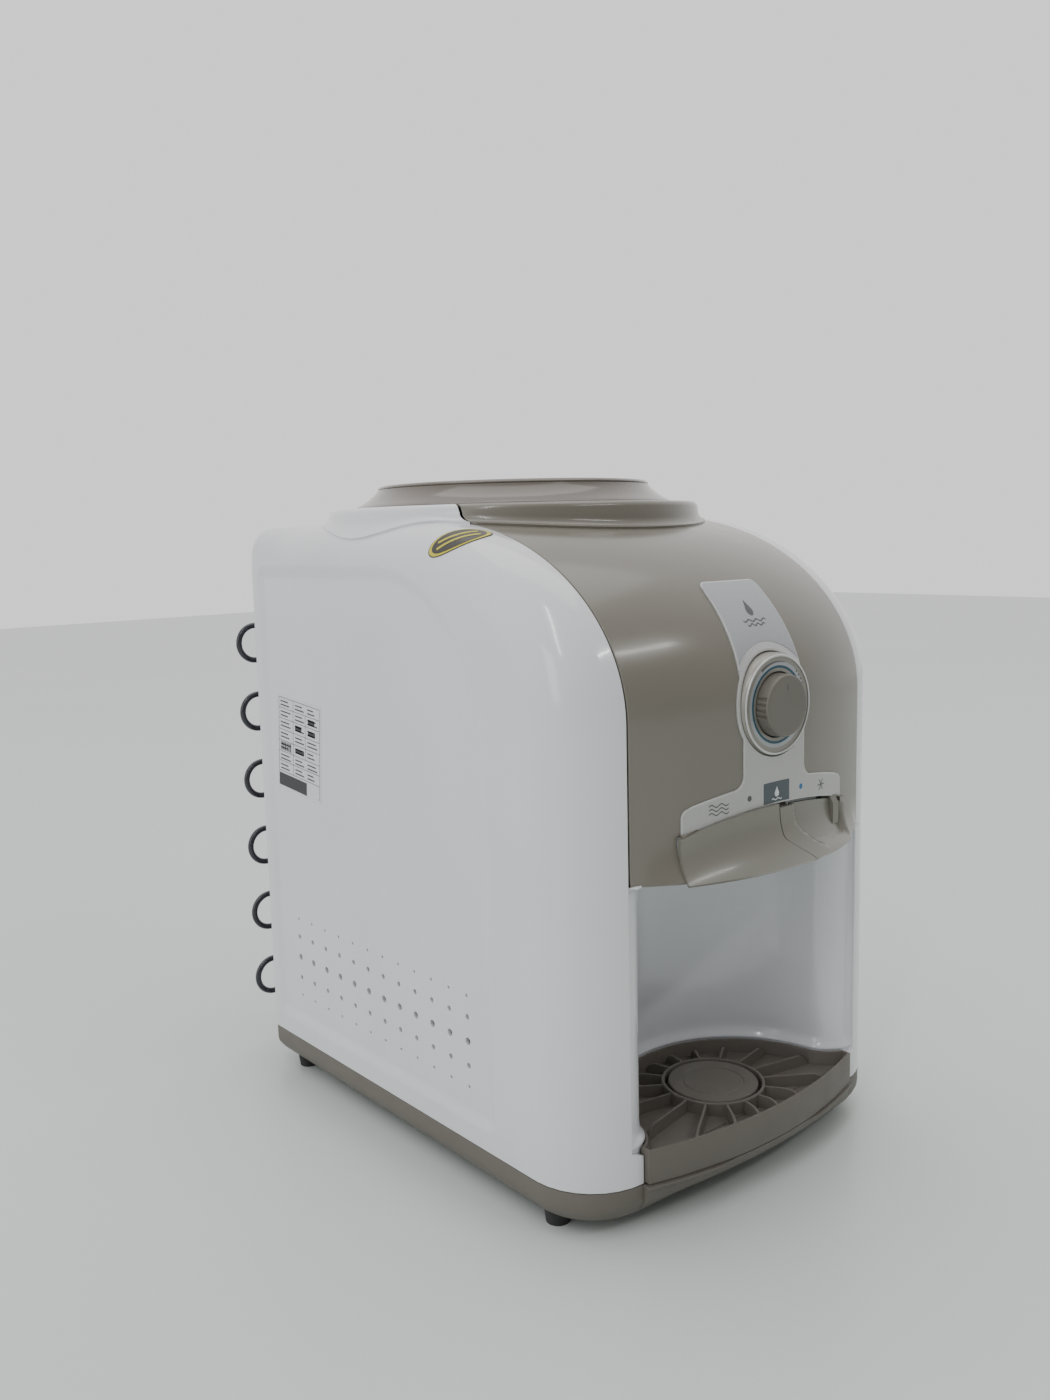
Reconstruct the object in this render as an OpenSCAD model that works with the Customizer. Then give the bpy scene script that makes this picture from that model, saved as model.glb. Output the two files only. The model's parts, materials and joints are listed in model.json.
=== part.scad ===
// Countertop water dispenser with a compressor cooler.
// X runs from left to right seen from the front, -Y is the front, +Z is up.
// The origin is on the floor, under the middle of the whole machine.

/* [Body] */
// Width of the body
body_w = 310; // [306:1:316]
// Depth of the body, from its back to the edge of the front cover
body_d = 391.7; // [388:0.1:396]
// Height of the deck above the floor
body_h = 450; // [448:1:454]
// Width of the front cover
cover_w = 230; // [228:1:232]
// How far the middle of the front cover stands out from its edges
cover_bulge = 17.6; // [16:0.1:19]
// Depth of the curved crown
crown_d = 182.7; // [178:0.1:186]
// Height of the curved crown
crown_h = 125; // [120:1:128]
// Radius of the upright front corners
corner_r = 49; // [46:1:52]
// Radius of the long top edges
edge_r = 27; // [24:1:30]
// Wall of the moulded shells
wall = 3; // [2.8:0.1:3.2]
// Height of the foot under the base
foot_h = 10; // [9:1:11]
// Height of the top of the base
base_h = 32; // [31:1:33]

/* [Bottle seat] */
// Distance from the back of the body to the bottle's axis
bottle_back = 150; // [148:1:152]
// Radius of the collar on the deck
collar_r = 143; // [141:1:145]
// Height of the collar above the deck
collar_h = 10; // [9:1:11]
// Height of the loose cap ring above the collar
cap_h = 19; // [18:1:20]
// Outer radius of the cap ring at its foot
cap_r = 125; // [123:1:126]
// Radius of the bore that takes the bottle's neck
neck_r = 29.5; // [29:0.1:30]

/* [Front] */
// Height of the underside of the front cover
cover_z = 226.7; // [226:0.1:228]
// Height of the dial's axis
dial_z = 328; // [325:1:329]
// Radius of the dial's bezel
bezel_r = 33.6; // [32:0.1:34]
// Radius of the thermostat knob
knob_r = 20.5; // [20:0.1:21]
// Width of the silver centre strip
strip_w = 54.2; // [52:0.1:56]
// Height of the top of the centre strip
strip_top = 405.6; // [402:0.1:408]
// Half width of the label arc over the levers
label_w = 80.4; // [79:0.1:81]
// Height of the bottom of the label arc at its ends
label_z = 253.8; // [253:0.1:255]
// Height of the label band
label_band = 15.5; // [14:0.5:16]
// How far the lever lip stands out from the edge of the front cover
lip_out = 38.3; // [37:0.1:40]
// Height of the lever lip
lip_z = 223.5; // [222:0.1:225]
// Half width of the two levers together
lever_w = 81.5; // [81:0.1:82]

/* [Niche and tray] */
// Radius of the back wall of the niche
niche_r = 91; // [89:1:92]
// Radius of the flare at the mouth of the niche
flare_r = 24; // [22:1:26]
// Half width of the drip tray
tray_w = 105.5; // [104:0.5:106]
// Height of the drip tray's rim above the floor
tray_z = 55.5; // [54:0.5:57]
// Ribs on the drip insert
rib_count = 16; // [12:1:20]

/* [Cooling] */
// How far the condenser stands out behind the body
condenser_out = 45; // [44:1:46]
// Height between two runs of the condenser
run_pitch = 29.5; // [29:0.5:30]
// Runs of the condenser
run_count = 12; // [10:2:12]
// Radius of the condenser tube
tube_r = 2.5; // [2:0.5:3]
// Radius of the cold water reservoir
reservoir_r = 88; // [86:1:89]
// Radius of the compressor's shell
compressor_r = 62; // [58:1:64]
// Travel of each lever, in degrees
lever_travel = 8; // [4:1:9]

/* [Hidden] */

// Finishes
white = [0.93, 0.94, 0.96];
taupe = [0.53, 0.50, 0.45];
silver = [0.72, 0.73, 0.73];
slate = [0.28, 0.32, 0.36];
blue = [0.10, 0.45, 0.75];
black = [0.08, 0.08, 0.11];
steel = [0.62, 0.64, 0.66];
copper = [0.76, 0.47, 0.32];
foam = [0.95, 0.95, 0.92];
clear_white = [0.88, 0.90, 0.92];

// Clearances: between moulded shells, between stacked parts and round a shaft
seam = 0.6;
gap = 0.3;
fit = 0.05;
// An overshoot that lets a cut run clear of the surface it opens
past = 1;
// Facets: fine for shells, plain for small round parts
fine = 96;
plain = 32;
steps = 20;

// Main stations of the body
half_w = body_w / 2;
cover_x = cover_w / 2;
back_y = (body_d + condenser_out + lip_out) / 2 - condenser_out;
front_y = back_y - body_d;
lip_y = front_y - lip_out;
axis_y = back_y - bottle_back;
crown_y = front_y + crown_d;
crown_z = body_h - crown_h;
rear_edge_r = 20;
collar_top = body_h + collar_h;
cap_top = collar_top + cap_h;
collar_hole_r = 118;

// The cover is a surface of revolution about an upright axis far behind it
bulge_r = (cover_x * cover_x + cover_bulge * cover_bulge) / (2 * cover_bulge);
bulge_y = front_y - cover_bulge + bulge_r;
cover_sweep = 100;

// ---------------------------------------------------------------- outlines

// Points on an arc, from angle a0 to angle a1
function arc(cx, cy, r, a0, a1, n = steps) =
    [for (i = [0 : n]) let (a = a0 + (a1 - a0) * i / n) [cx + r * cos(a), cy + r * sin(a)]];

// The curved crown in side view, as (y, z), from the front up to the deck
function crown(inset) =
    [for (i = [0 : steps]) let (t = 90 * i / steps)
        [crown_y - (crown_d - inset) * cos(t), crown_z + (crown_h - inset) * sin(t)]];

// Side view of the body, as (y, z)
function side_outline(inset, z0) = concat(
    [[back_y - inset, z0], [front_y + inset, z0]],
    crown(inset),
    arc(back_y - rear_edge_r, body_h - rear_edge_r, rear_edge_r - inset, 90, 0, 8));

// Plan of the body, as (x, y), with square back corners
function plan_outline(inset) = concat(
    [[half_w - inset, back_y - inset], [inset - half_w, back_y - inset]],
    arc(corner_r - half_w, front_y + corner_r, corner_r - inset, 180, 270),
    arc(half_w - corner_r, front_y + corner_r, corner_r - inset, 270, 360));

// Front view of the body, as (x, z)
function front_outline(inset, z0) = concat(
    [[inset - half_w, z0], [half_w - inset, z0]],
    arc(half_w - edge_r, body_h - edge_r, edge_r - inset, 0, 90),
    arc(edge_r - half_w, body_h - edge_r, edge_r - inset, 90, 180));

// Plan of the niche's hollow, grown outwards by d; reach carries its mouth forwards
niche_y = -192;
mouth_angle = 10;
mouth_x = (niche_r + flare_r) * cos(mouth_angle);
mouth_y = niche_y + (niche_r + flare_r) * sin(mouth_angle);
function niche_outline(d, reach = 0) = concat(
    reach > 0 ? [[-mouth_x, mouth_y - flare_r - reach], [mouth_x, mouth_y - flare_r - reach]] : [],
    arc(mouth_x, mouth_y, flare_r - d, 270, 180 + mouth_angle, 8),
    arc(0, niche_y, niche_r + d, mouth_angle, 180 - mouth_angle, 2 * steps),
    arc(-mouth_x, mouth_y, flare_r - d, -mouth_angle, -90, 8));

// ---------------------------------------------------------------- helpers

// Extrudes a (y, z) outline across the machine from x0 to x1
module across(x0, x1) {
    translate([x0, 0, 0]) rotate([90, 0, 90]) linear_extrude(x1 - x0) children();
}

// Extrudes an (x, z) outline backwards from y0 to y1
module backwards(y0, y1) {
    translate([0, y1, 0]) rotate([90, 0, 0]) linear_extrude(y1 - y0) children();
}

// Extrudes a plan upwards from z0 to z1
module upwards(z0, z1) {
    translate([0, 0, z0]) linear_extrude(z1 - z0) children();
}

// A box between two corners
module block(low, high) {
    translate(low) cube(high - low);
}

// A rod along Y
module rod_y(x, z, y0, y1, r, n = plain) {
    translate([x, y0, z]) rotate([-90, 0, 0]) cylinder(h = y1 - y0, r = r, $fn = n);
}

// A rod along X
module rod_x(y, z, x0, x1, r, n = plain) {
    translate([x0, y, z]) rotate([0, 90, 0]) cylinder(h = x1 - x0, r = r, $fn = n);
}

// A rod along Z
module rod_z(x, y, z0, z1, r, n = plain) {
    translate([x, y, z0]) cylinder(h = z1 - z0, r = r, $fn = n);
}

// The body as a solid block, drawn in by inset
module body_block(inset, z0) {
    intersection() {
        across(-half_w, half_w) polygon(side_outline(inset, z0));
        upwards(z0, body_h) polygon(plan_outline(inset));
        backwards(front_y, back_y) polygon(front_outline(inset, z0));
    }
}

// A band of the cover's revolved surface, between two insets
module cover_band(inner, outer, z0) {
    outer_line = [for (p = concat([[front_y + outer, z0]], crown(outer), [[axis_y, body_h - outer]]))
        [norm([cover_x, bulge_y - p[0]]), p[1]]];
    inner_line = [for (p = concat([[front_y + inner, z0]], crown(inner), [[axis_y, body_h - inner]]))
        [norm([cover_x, bulge_y - p[0]]), p[1]]];
    last = len(inner_line) - 1;
    translate([0, bulge_y, 0]) rotate([0, 0, -90 - cover_sweep / 2])
        rotate_extrude(angle = cover_sweep, $fn = fine)
            polygon(concat(outer_line, [for (i = [last : -1 : 0]) inner_line[i]]));
}

// Joins two grids of points, of the same size, into one closed solid
function flatten(grid) = [for (row = grid) for (p = row) p];
module slab(front, back) {
    rows = len(front);
    cols = len(front[0]);
    count = rows * cols;
    skin = [for (i = [0 : rows - 2]) for (j = [0 : cols - 2])
        let (a = i * cols + j, b = a + 1, c = a + cols, d = c + 1) each [[a, b, c], [b, d, c]]];
    rim = concat(
        [for (j = [0 : cols - 2]) [j, j + 1]],
        [for (i = [0 : rows - 2]) [(i + 1) * cols - 1, (i + 2) * cols - 1]],
        [for (j = [cols - 1 : -1 : 1]) [(rows - 1) * cols + j, (rows - 1) * cols + j - 1]],
        [for (i = [rows - 1 : -1 : 1]) [i * cols, (i - 1) * cols]]);
    polyhedron(
        points = concat(flatten(front), flatten(back)),
        faces = concat(
            skin,
            [for (f = skin) [f[0] + count, f[2] + count, f[1] + count]],
            [for (e = rim) each [[e[1], e[0], e[0] + count], [e[1], e[0] + count, e[1] + count]]]));
}

// A smooth curve through the points of a route, part way between each pair
function curve_at(p, i, t) =
    let (
        a = p[max(i - 1, 0)], b = p[i], c = p[i + 1], d = p[min(i + 2, len(p) - 1)],
        u = t * t, v = u * t)
    0.5 * (2 * b + (c - a) * t + (2 * a - 5 * b + 4 * c - d) * u + (3 * b - a - 3 * c + d) * v);
function smooth_route(p, n = 4) = concat(
    [for (i = [0 : len(p) - 2]) for (k = [0 : n - 1]) curve_at(p, i, k / n)],
    [p[len(p) - 1]]);

// A round tube of radius r swept along a route
function unit(v) = v / norm(v);
function heading(p, i) = unit(p[min(i + 1, len(p) - 1)] - p[max(i - 1, 0)]);
function square_to(t, v) = unit(v - (v * t) * t);
function frames(p, i = 0, up = [0.31, 0.17, 0.93]) =
    i >= len(p) ? [] :
    let (t = heading(p, i), n = square_to(t, up)) concat([[n, cross(t, n)]], frames(p, i + 1, n));
module tube(route, r, sides = 8) {
    f = frames(route);
    rings = len(route);
    points = [for (i = [0 : rings - 1]) for (k = [0 : sides - 1])
        let (a = 360 * k / sides) route[i] + r * (cos(a) * f[i][0] + sin(a) * f[i][1])];
    walls = [for (i = [0 : rings - 2]) for (k = [0 : sides - 1])
        let (a = i * sides + k, b = i * sides + (k + 1) % sides) each
            [[a, a + sides, b], [b, a + sides, b + sides]]];
    polyhedron(points = points, faces = concat(
        walls,
        [[for (k = [0 : sides - 1]) k]],
        [[for (k = [sides - 1 : -1 : 0]) (rings - 1) * sides + k]]));
}

// ---------------------------------------------------------------- shells

vent_cols = 12;
vent_pitch = 20.48;
vent_y = 144.9;
vent_z = 102.6;
vent_rows = [[-32.3, 1.3], [-17.27, 2.1], [0, 2.75], [17.27, 2.1], [32.3, 1.3]];
inset_depth = 1.5;
inset_front = front_y + 87;
inset_back = back_y - 11;
inset_low = 45;
inset_high = 421;
inset_crown_r = 118;
rear_frame = 16;
cheek_top = tray_z - 0.5;
cheek_x = tray_w + 1;

module vents(x0, x1) {
    for (c = [0 : vent_cols - 1])
        for (row = vent_rows)
            rod_x(vent_y - c * vent_pitch, vent_z + row[0], x0, x1, row[1], 16);
}

// Outline of the shallow panel on each side, as (y, z)
module side_inset_outline() {
    polygon(concat(
        arc(inset_back - 12, inset_low + 12, 12, 0, -90, 6),
        arc(inset_front + 12, inset_low + 12, 12, -90, -180, 6),
        arc(inset_front + inset_crown_r, inset_high - inset_crown_r, inset_crown_r, 180, 90),
        arc(inset_back - 12, inset_high - 12, 12, 90, 0, 6)));
}

// The collar's ring, hollow below
module collar_ring() {
    translate([0, axis_y, 0]) rotate_extrude($fn = fine) polygon([
        [collar_hole_r, collar_top - wall], [collar_r - wall - 1, collar_top - wall],
        [collar_r - wall, body_h - wall], [collar_r, body_h - wall],
        [collar_r - 1.6, collar_top], [collar_hole_r, collar_top]]);
}

module side_panel() {
    color(white) difference() {
        union() {
            difference() {
                body_block(0, base_h + gap);
                body_block(wall, base_h);
                block([-half_w + rear_frame, back_y - wall - past, base_h + rear_frame],
                    [half_w - rear_frame, back_y + past, body_h - rear_frame - wall]);
                rod_z(0, axis_y, body_h - 2 * wall, body_h + past, collar_r - wall / 2, fine);
            }
            collar_ring();
        }
        // Everything right of the middle, and the front cover's own ground
        block([-seam / 2, -body_w, 0], [half_w + past, body_w, cap_top]);
        block([-cover_x - seam, lip_y, cheek_top], [half_w, axis_y, cap_top]);
        block([-cheek_x, lip_y, 0], [half_w, axis_y, cheek_top + past]);
        across(-half_w - past, -half_w + inset_depth) side_inset_outline();
        vents(-half_w - past, -half_w + wall + past);
        for (z = screw_heights)
            rod_y(-screw_x, z, back_y - wall - past, back_y + past, screw_r + fit, 16);
    }
}

module side_panel_left() { side_panel(); }

module side_panel_right() { mirror([1, 0, 0]) side_panel(); }

window_x = lever_w + 2.5;
label_r = (label_w * label_w + 9.6 * 9.6) / (2 * 9.6);
label_cz = label_z + 9.6 - label_r;
window_z = label_z + 9.6 + 1;

module front_cover() {
    color(taupe) difference() {
        union() {
            intersection() {
                cover_band(wall, 0, cover_z);
                block([-cover_x, lip_y, cover_z], [cover_x, axis_y, body_h]);
            }
            intersection() {
                collar_ring();
                block([-cover_x, lip_y, 0], [cover_x, axis_y - seam, cap_top]);
            }
        }
        rod_z(0, axis_y, cover_z, collar_top - wall, collar_r - wall - 1, fine);
        intersection() {
            block([-window_x, lip_y, cover_z - past], [window_x, front_y + corner_r, window_z]);
            rod_y(0, label_cz, lip_y, front_y + corner_r, label_r + past, 4 * fine);
        }
        rod_y(0, dial_z, lip_y, front_y + corner_r, dial_hole_r, fine);
    }
}

trim_low = 0.15;
trim_t = 1.6;
mark_t = 0.3;
neck_half = 30;
fillet_r = 9;
label_top = label_cz + sqrt(pow(label_r + label_band, 2) - pow(neck_half + fillet_r, 2)) - past;

// Outline of the silver trim, as (x, z)
module trim_outline() {
    difference() {
        union() {
            polygon([[-strip_w / 2, strip_top], [strip_w / 2, strip_top],
                [neck_half, dial_z], [neck_half, label_cz + label_r],
                [-neck_half, label_cz + label_r], [-neck_half, dial_z]]);
            intersection() {
                difference() {
                    translate([0, label_cz]) circle(r = label_r + label_band, $fn = 4 * fine);
                    translate([0, label_cz]) circle(r = label_r, $fn = 4 * fine);
                }
                translate([-label_w, label_z]) square([2 * label_w, 2 * label_band]);
            }
            translate([0, dial_z]) circle(r = bezel_r + 2, $fn = fine);
            for (side = [-1, 1]) difference() {
                translate([side * (neck_half + fillet_r / 2), label_top + fillet_r / 2])
                    square(fillet_r, center = true);
                translate([side * (neck_half + fillet_r), label_top + fillet_r + past])
                    circle(r = fillet_r, $fn = fine);
            }
        }
        translate([0, dial_z]) circle(r = bezel_r + gap, $fn = fine);
    }
}

module front_trim() {
    color(silver) intersection() {
        cover_band(-trim_low, -trim_low - trim_t, cover_z);
        backwards(lip_y, crown_y) trim_outline();
    }
}

mark_x = 13;
dot_x = 26;
dot_r = 2.4;
module control_marks() {
    color(slate) intersection() {
        cover_band(-trim_low - trim_t - fit, -trim_low - trim_t - mark_t, cover_z);
        backwards(lip_y, front_y) union() {
            intersection() {
                difference() {
                    translate([0, label_cz]) circle(r = label_r + label_band - 1, $fn = 4 * fine);
                    translate([0, label_cz]) circle(r = label_r + 1, $fn = 4 * fine);
                }
                translate([-mark_x, label_z]) square([2 * mark_x, 3 * label_band]);
            }
            for (side = [-1, 1])
                translate([side * dot_x, label_cz + label_r + label_band / 2 - 1.5])
                    circle(r = dot_r, $fn = plain);
        }
    }
}

// ---------------------------------------------------------------- dial

cover_mid_y = front_y - cover_bulge;
bezel_front = cover_mid_y - 3;
bezel_back = cover_mid_y + 14;
bezel_wall = 2.5;
dial_hole_r = bezel_r - 4;
scale_face = bezel_front + 1;
knob_front = cover_mid_y - 10.4;
shaft_r = 3;
thermo_front = cover_mid_y + 32;
thermo_d = 30;
thermo_w = 20;

module dial_bezel() {
    color(silver) difference() {
        union() {
            // The barrel ends on the cover's curved face, and a spigot passes through the cover
            difference() {
                rod_y(0, dial_z, bezel_front, bezel_back, bezel_r, fine);
                cover_band(corner_r, -fit, cover_z);
            }
            rod_y(0, dial_z, bezel_front, bezel_back, dial_hole_r - gap, fine);
        }
        rod_y(0, dial_z, bezel_front - past, scale_face + 1, bezel_r - bezel_wall, fine);
        rod_y(0, dial_z, scale_face, scale_face + 4, knob_r + 1, fine);
        rod_y(0, dial_z, bezel_front, bezel_back + past, shaft_r + 4, plain);
    }
}

module dial_scale_ring() {
    color(blue) difference() {
        rod_y(0, dial_z, scale_face, scale_face + 1 - fit, bezel_r - bezel_wall - fit, fine);
        rod_y(0, dial_z, scale_face - past, scale_face + past, knob_r + 1, fine);
    }
}

grip_count = 9;
module thermostat_knob() {
    color(taupe) difference() {
        rod_y(0, dial_z, knob_front, scale_face + 3, knob_r, fine);
        // Grip flats on the left and right
        for (side = [-1, 1])
            for (i = [0 : grip_count - 1])
                translate([0, 0, dial_z])
                    rotate([0, side * 90 + (i - (grip_count - 1) / 2) * 7, 0])
                        translate([0, 0, knob_r + 0.4])
                            rotate([90, 0, 0]) translate([0, 0, -scale_face])
                                cylinder(h = scale_face - knob_front, r = 1.0, $fn = 16);
        // Pointer line
        block([-0.6, knob_front - past, dial_z + knob_r / 2], [0.6, knob_front + 0.6, dial_z + knob_r - 1]);
        rod_y(0, dial_z, knob_front + 4, scale_face + 4, shaft_r + fit, plain);
    }
}

module thermostat_shaft() {
    color(steel) rod_y(0, dial_z, knob_front + 4.5, thermo_front + 6, shaft_r, plain);
}

module thermostat_body() {
    color(steel) difference() {
        union() {
            block([-thermo_w, thermo_front, dial_z - thermo_w],
                [thermo_w, thermo_front + thermo_d, dial_z + thermo_w]);
            rod_y(0, dial_z, thermo_front - 8, thermo_front + 1, shaft_r + 3.5, plain);
        }
        rod_y(0, dial_z, thermo_front - 9, thermo_front + 8, shaft_r + fit, plain);
    }
}

// ---------------------------------------------------------------- levers and taps

pivot_y = -198;
pivot_z = 270;
pin_r = 2;
barrel_r = 4.5;
barrels = [[8, 20], [60, 72]];
arm_h = 9;
tap_x = 20;
tap_z = 240;
stem_r = 3;
stem_head_y = -208;
chamber_front = -190;
chamber_back = -152;
chamber_r = 11;
lever_t = 3;
lip_arc_r = (cover_x * cover_x + lip_out * lip_out) / (2 * lip_out);
lever_cols = 12;
lever_rows = 10;
lever_gap = 0.5;

// A point on the front of the right lever: u runs outwards, v runs down
function lever_point(u, v, back) =
    let (
        x = lever_gap + u * (lever_w - lever_gap),
        z_high = label_cz + sqrt(label_r * label_r - x * x) - 0.8,
        y_high = bulge_y - sqrt(pow(bulge_r + trim_t, 2) - x * x),
        y_low = lip_y + lip_arc_r - sqrt(lip_arc_r * lip_arc_r - x * x))
    [x, y_high + (y_low - y_high) * pow(v, 3) + back, z_high + (lip_z - z_high) * v];

module lever_plate() {
    grid = function (back) [for (i = [0 : lever_rows]) [for (j = [0 : lever_cols])
        lever_point(j / lever_cols, i / lever_rows, back)]];
    slab(grid(0), grid(lever_t));
}

module lever() {
    color(taupe) difference() {
        union() {
            lever_plate();
            for (b = barrels) {
                plate_y = lever_point(b[1] / lever_w, 0.3, 0)[1] + 1;
                arm_top = label_cz + sqrt(label_r * label_r - b[1] * b[1]) - 1.5;
                across(b[0], b[1]) polygon([
                    [plate_y, arm_top], [plate_y, arm_top - arm_h], [pivot_y, arm_top - arm_h - 2],
                    [pivot_y + barrel_r, pivot_z], [pivot_y - barrel_r, pivot_z],
                    [pivot_y - barrel_r, arm_top]]);
                rod_x(pivot_y, pivot_z, b[0], b[1], barrel_r, plain);
            }
            rod_y(tap_x, tap_z, cover_mid_y - 3, stem_head_y - gap, 6, plain);
        }
        rod_x(pivot_y, pivot_z, 0, lever_w, pin_r + fit, plain);
    }
}

module lever_right() { lever(); }

module lever_left() { mirror([1, 0, 0]) lever(); }

module lever_pins() {
    color(steel) for (side = [0, 1]) mirror([side, 0, 0])
        rod_x(pivot_y, pivot_z, 2.5, 79, pin_r, plain);
}

module tap_bracket() {
    color(white) difference() {
        union() {
            block([-82, chamber_front + 1.5, tap_z - 10], [82, chamber_front + 3.5, pivot_z + 14]);
            for (side = [0, 1]) mirror([side, 0, 0])
                for (x = [3, 75])
                    block([x, pivot_y - 5, pivot_z - 6], [x + 3.5, chamber_front + 2, pivot_z + 6]);
        }
        for (side = [-1, 1])
            rod_y(side * tap_x, tap_z, chamber_front, chamber_front + 5, chamber_r + gap, plain);
        rod_x(pivot_y, pivot_z, -lever_w, lever_w, pin_r + fit / 2, plain);
    }
}

spout_y = -172;
spout_z = 216;
module tap() {
    color(white) difference() {
        union() {
            rod_y(tap_x, tap_z, chamber_front, chamber_back, chamber_r, plain);
            rod_y(tap_x, tap_z, chamber_back - 1, chamber_back + 14, 5, plain);
            rod_z(tap_x, spout_y, spout_z, tap_z, 7, plain);
        }
        rod_y(tap_x, tap_z, chamber_front + 4, chamber_back - 3, 8, plain);
        rod_y(tap_x, tap_z, chamber_front - past, chamber_front + 5, stem_r + fit, plain);
        rod_y(tap_x, tap_z, chamber_back - 5, chamber_back + 15, 3, plain);
        rod_z(tap_x, spout_y, spout_z - past, tap_z, 4.5, plain);
    }
}

module tap_right() { tap(); }

module tap_left() { mirror([1, 0, 0]) tap(); }

module stem() {
    color(taupe) union() {
        rod_y(tap_x, tap_z, stem_head_y, -166, stem_r, plain);
        rod_y(tap_x, tap_z, stem_head_y, stem_head_y + 2, 3.5, plain);
        rod_y(tap_x, tap_z, stem_head_y + 2, stem_head_y + 3.5, 6.5, plain);
        rod_y(tap_x, tap_z, -168, -165, 7, plain);
    }
}

module stem_right() { stem(); }

module stem_left() { mirror([1, 0, 0]) stem(); }

spring_r = 4.8;
spring_turns = 5;
spring_y0 = stem_head_y + 4.3;
spring_y1 = chamber_front - 0.8;
module spring() {
    color(steel) tube([for (i = [0 : spring_turns * 12])
        let (a = i * 30, s = i / (spring_turns * 12))
            [tap_x + spring_r * cos(a), spring_y0 + (spring_y1 - spring_y0) * s, tap_z + spring_r * sin(a)]],
        0.5, 6);
}

module spring_right() { spring(); }

module spring_left() { mirror([1, 0, 0]) spring(); }

// ---------------------------------------------------------------- niche, base and tray

liner_t = 2.5;
niche_top = cover_z - 0.5;

module niche_liner() {
    color(white) difference() {
        upwards(base_h + gap, niche_top + liner_t) polygon(niche_outline(liner_t));
        upwards(base_h, niche_top) polygon(niche_outline(0, 20));
        for (side = [-1, 1])
            rod_z(side * tap_x, spout_y, niche_top - past, niche_top + 2 * liner_t, 7.6, plain);
    }
}

tray_arc_r = (tray_w * tray_w + 16.2 * 16.2) / (2 * 16.2);
tray_front = front_y - 4.1 - 16.2;
module tray_outline(inset) {
    intersection() {
        polygon(niche_outline(-1.2 - inset, 60));
        translate([0, tray_front + tray_arc_r]) circle(r = tray_arc_r - inset, $fn = 4 * fine);
        translate([inset - tray_w, -body_w]) square([2 * (tray_w - inset), body_w]);
    }
}

module body_footprint(inset, nose) {
    polygon(plan_outline(inset));
    if (nose) intersection() {
        translate([0, tray_front + tray_arc_r]) circle(r = tray_arc_r - inset, $fn = 4 * fine);
        translate([inset - tray_w - 0.2, -body_w]) square([2 * (tray_w - inset), body_w]);
    }
}

module base_hull(inset, z0, z1) {
    hull() {
        upwards(z0, z0 + 0.5) body_footprint(inset + 3, false);
        upwards(z1 - 0.5, z1) body_footprint(inset, true);
    }
}

foot_x = 138;
feet_y = [-152, 166];
foot_r = 9;
foot_stud_r = 3;
rail_x = 118;
module base_pan() {
    color(taupe) difference() {
        union() {
            difference() {
                base_hull(0, foot_h, base_h);
                base_hull(wall, foot_h + wall, base_h + past);
            }
            // Shelf under the drip tray and the rails under the chassis plate
            intersection() {
                upwards(base_h - wall, base_h) polygon(niche_outline(4, 40));
                base_hull(0.2, foot_h, base_h + past);
            }
            for (side = [-1, 1])
                block([side * rail_x - 2, -60, foot_h + wall - 0.5], [side * rail_x + 2, 180, base_h]);
        }
        for (x = [-foot_x, foot_x])
            for (y = feet_y)
                rod_z(x, y, foot_h - past, foot_h + wall + past, foot_stud_r + fit, 16);
        for (x = [-rail_x + 12, rail_x - 12])
            for (y = base_screw_ys)
                rod_z(x, y, foot_h - past, foot_h + wall + past, screw_r + fit, 16);
    }
}

module feet() {
    color(black)
        for (x = [-foot_x, foot_x])
            for (y = feet_y)
                translate([x, y, 0]) rotate_extrude($fn = plain) polygon([
                    [0, 1], [foot_r - 3, 1], [foot_r - 3, 0], [foot_r - 1, 0], [foot_r, foot_h - 2],
                    [foot_r, foot_h - fit], [foot_stud_r, foot_h - fit], [foot_stud_r, foot_h + 5],
                    [0, foot_h + 5]]);
}

tray_floor = 3;
tray_wall = 2.2;
tray_bottom = base_h + gap;
module drip_tray() {
    color(taupe) difference() {
        upwards(tray_bottom, tray_z) tray_outline(0);
        upwards(tray_bottom + tray_floor, tray_z + past) tray_outline(tray_wall);
    }
}

ring_y = -163;
ring_r = 36.4;
ring_t = 3;
disc_r = 31.5;
insert_z = 43.5;
insert_t = 2;
rib_t = 2.2;
rib_top = tray_z - 1.5;
module drip_insert() {
    color(taupe) difference() {
        union() {
            upwards(insert_z, insert_z + insert_t) tray_outline(tray_wall + 0.4);
            rod_z(0, ring_y, insert_z, tray_z, ring_r, fine);
            intersection() {
                upwards(insert_z, rib_top) tray_outline(tray_wall + 6);
                for (i = [0 : rib_count - 1])
                    translate([0, ring_y, insert_z + 1]) rotate([0, 0, (i + 0.5) * 360 / rib_count])
                        translate([ring_r - 1, -rib_t / 2, 0]) cube([110, rib_t, rib_top - insert_z - 1]);
            }
            for (i = [0 : 5])
                translate([0, ring_y, 0]) rotate([0, 0, i * 60 + 30])
                    rod_z(28, 0, tray_bottom + tray_floor + fit, insert_z + 1, 3, 16);
        }
        // The disc stands in a groove, and the ring is hollow below
        difference() {
            rod_z(0, ring_y, insert_z + insert_t, tray_z + past, ring_r - ring_t, fine);
            rod_z(0, ring_y, insert_z, tray_z + 2 * past, disc_r, fine);
        }
        rod_z(0, ring_y, insert_z + insert_t + 5, tray_z - 3, disc_r - 3, fine);
        for (i = [0 : rib_count - 1])
            translate([0, ring_y, 0]) rotate([0, 0, i * 360 / rib_count])
                block([disc_r + 6, -2, insert_z - past], [disc_r + 16, 2, insert_z + insert_t + past]);
    }
}

// ---------------------------------------------------------------- bottle seat and tank

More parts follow.
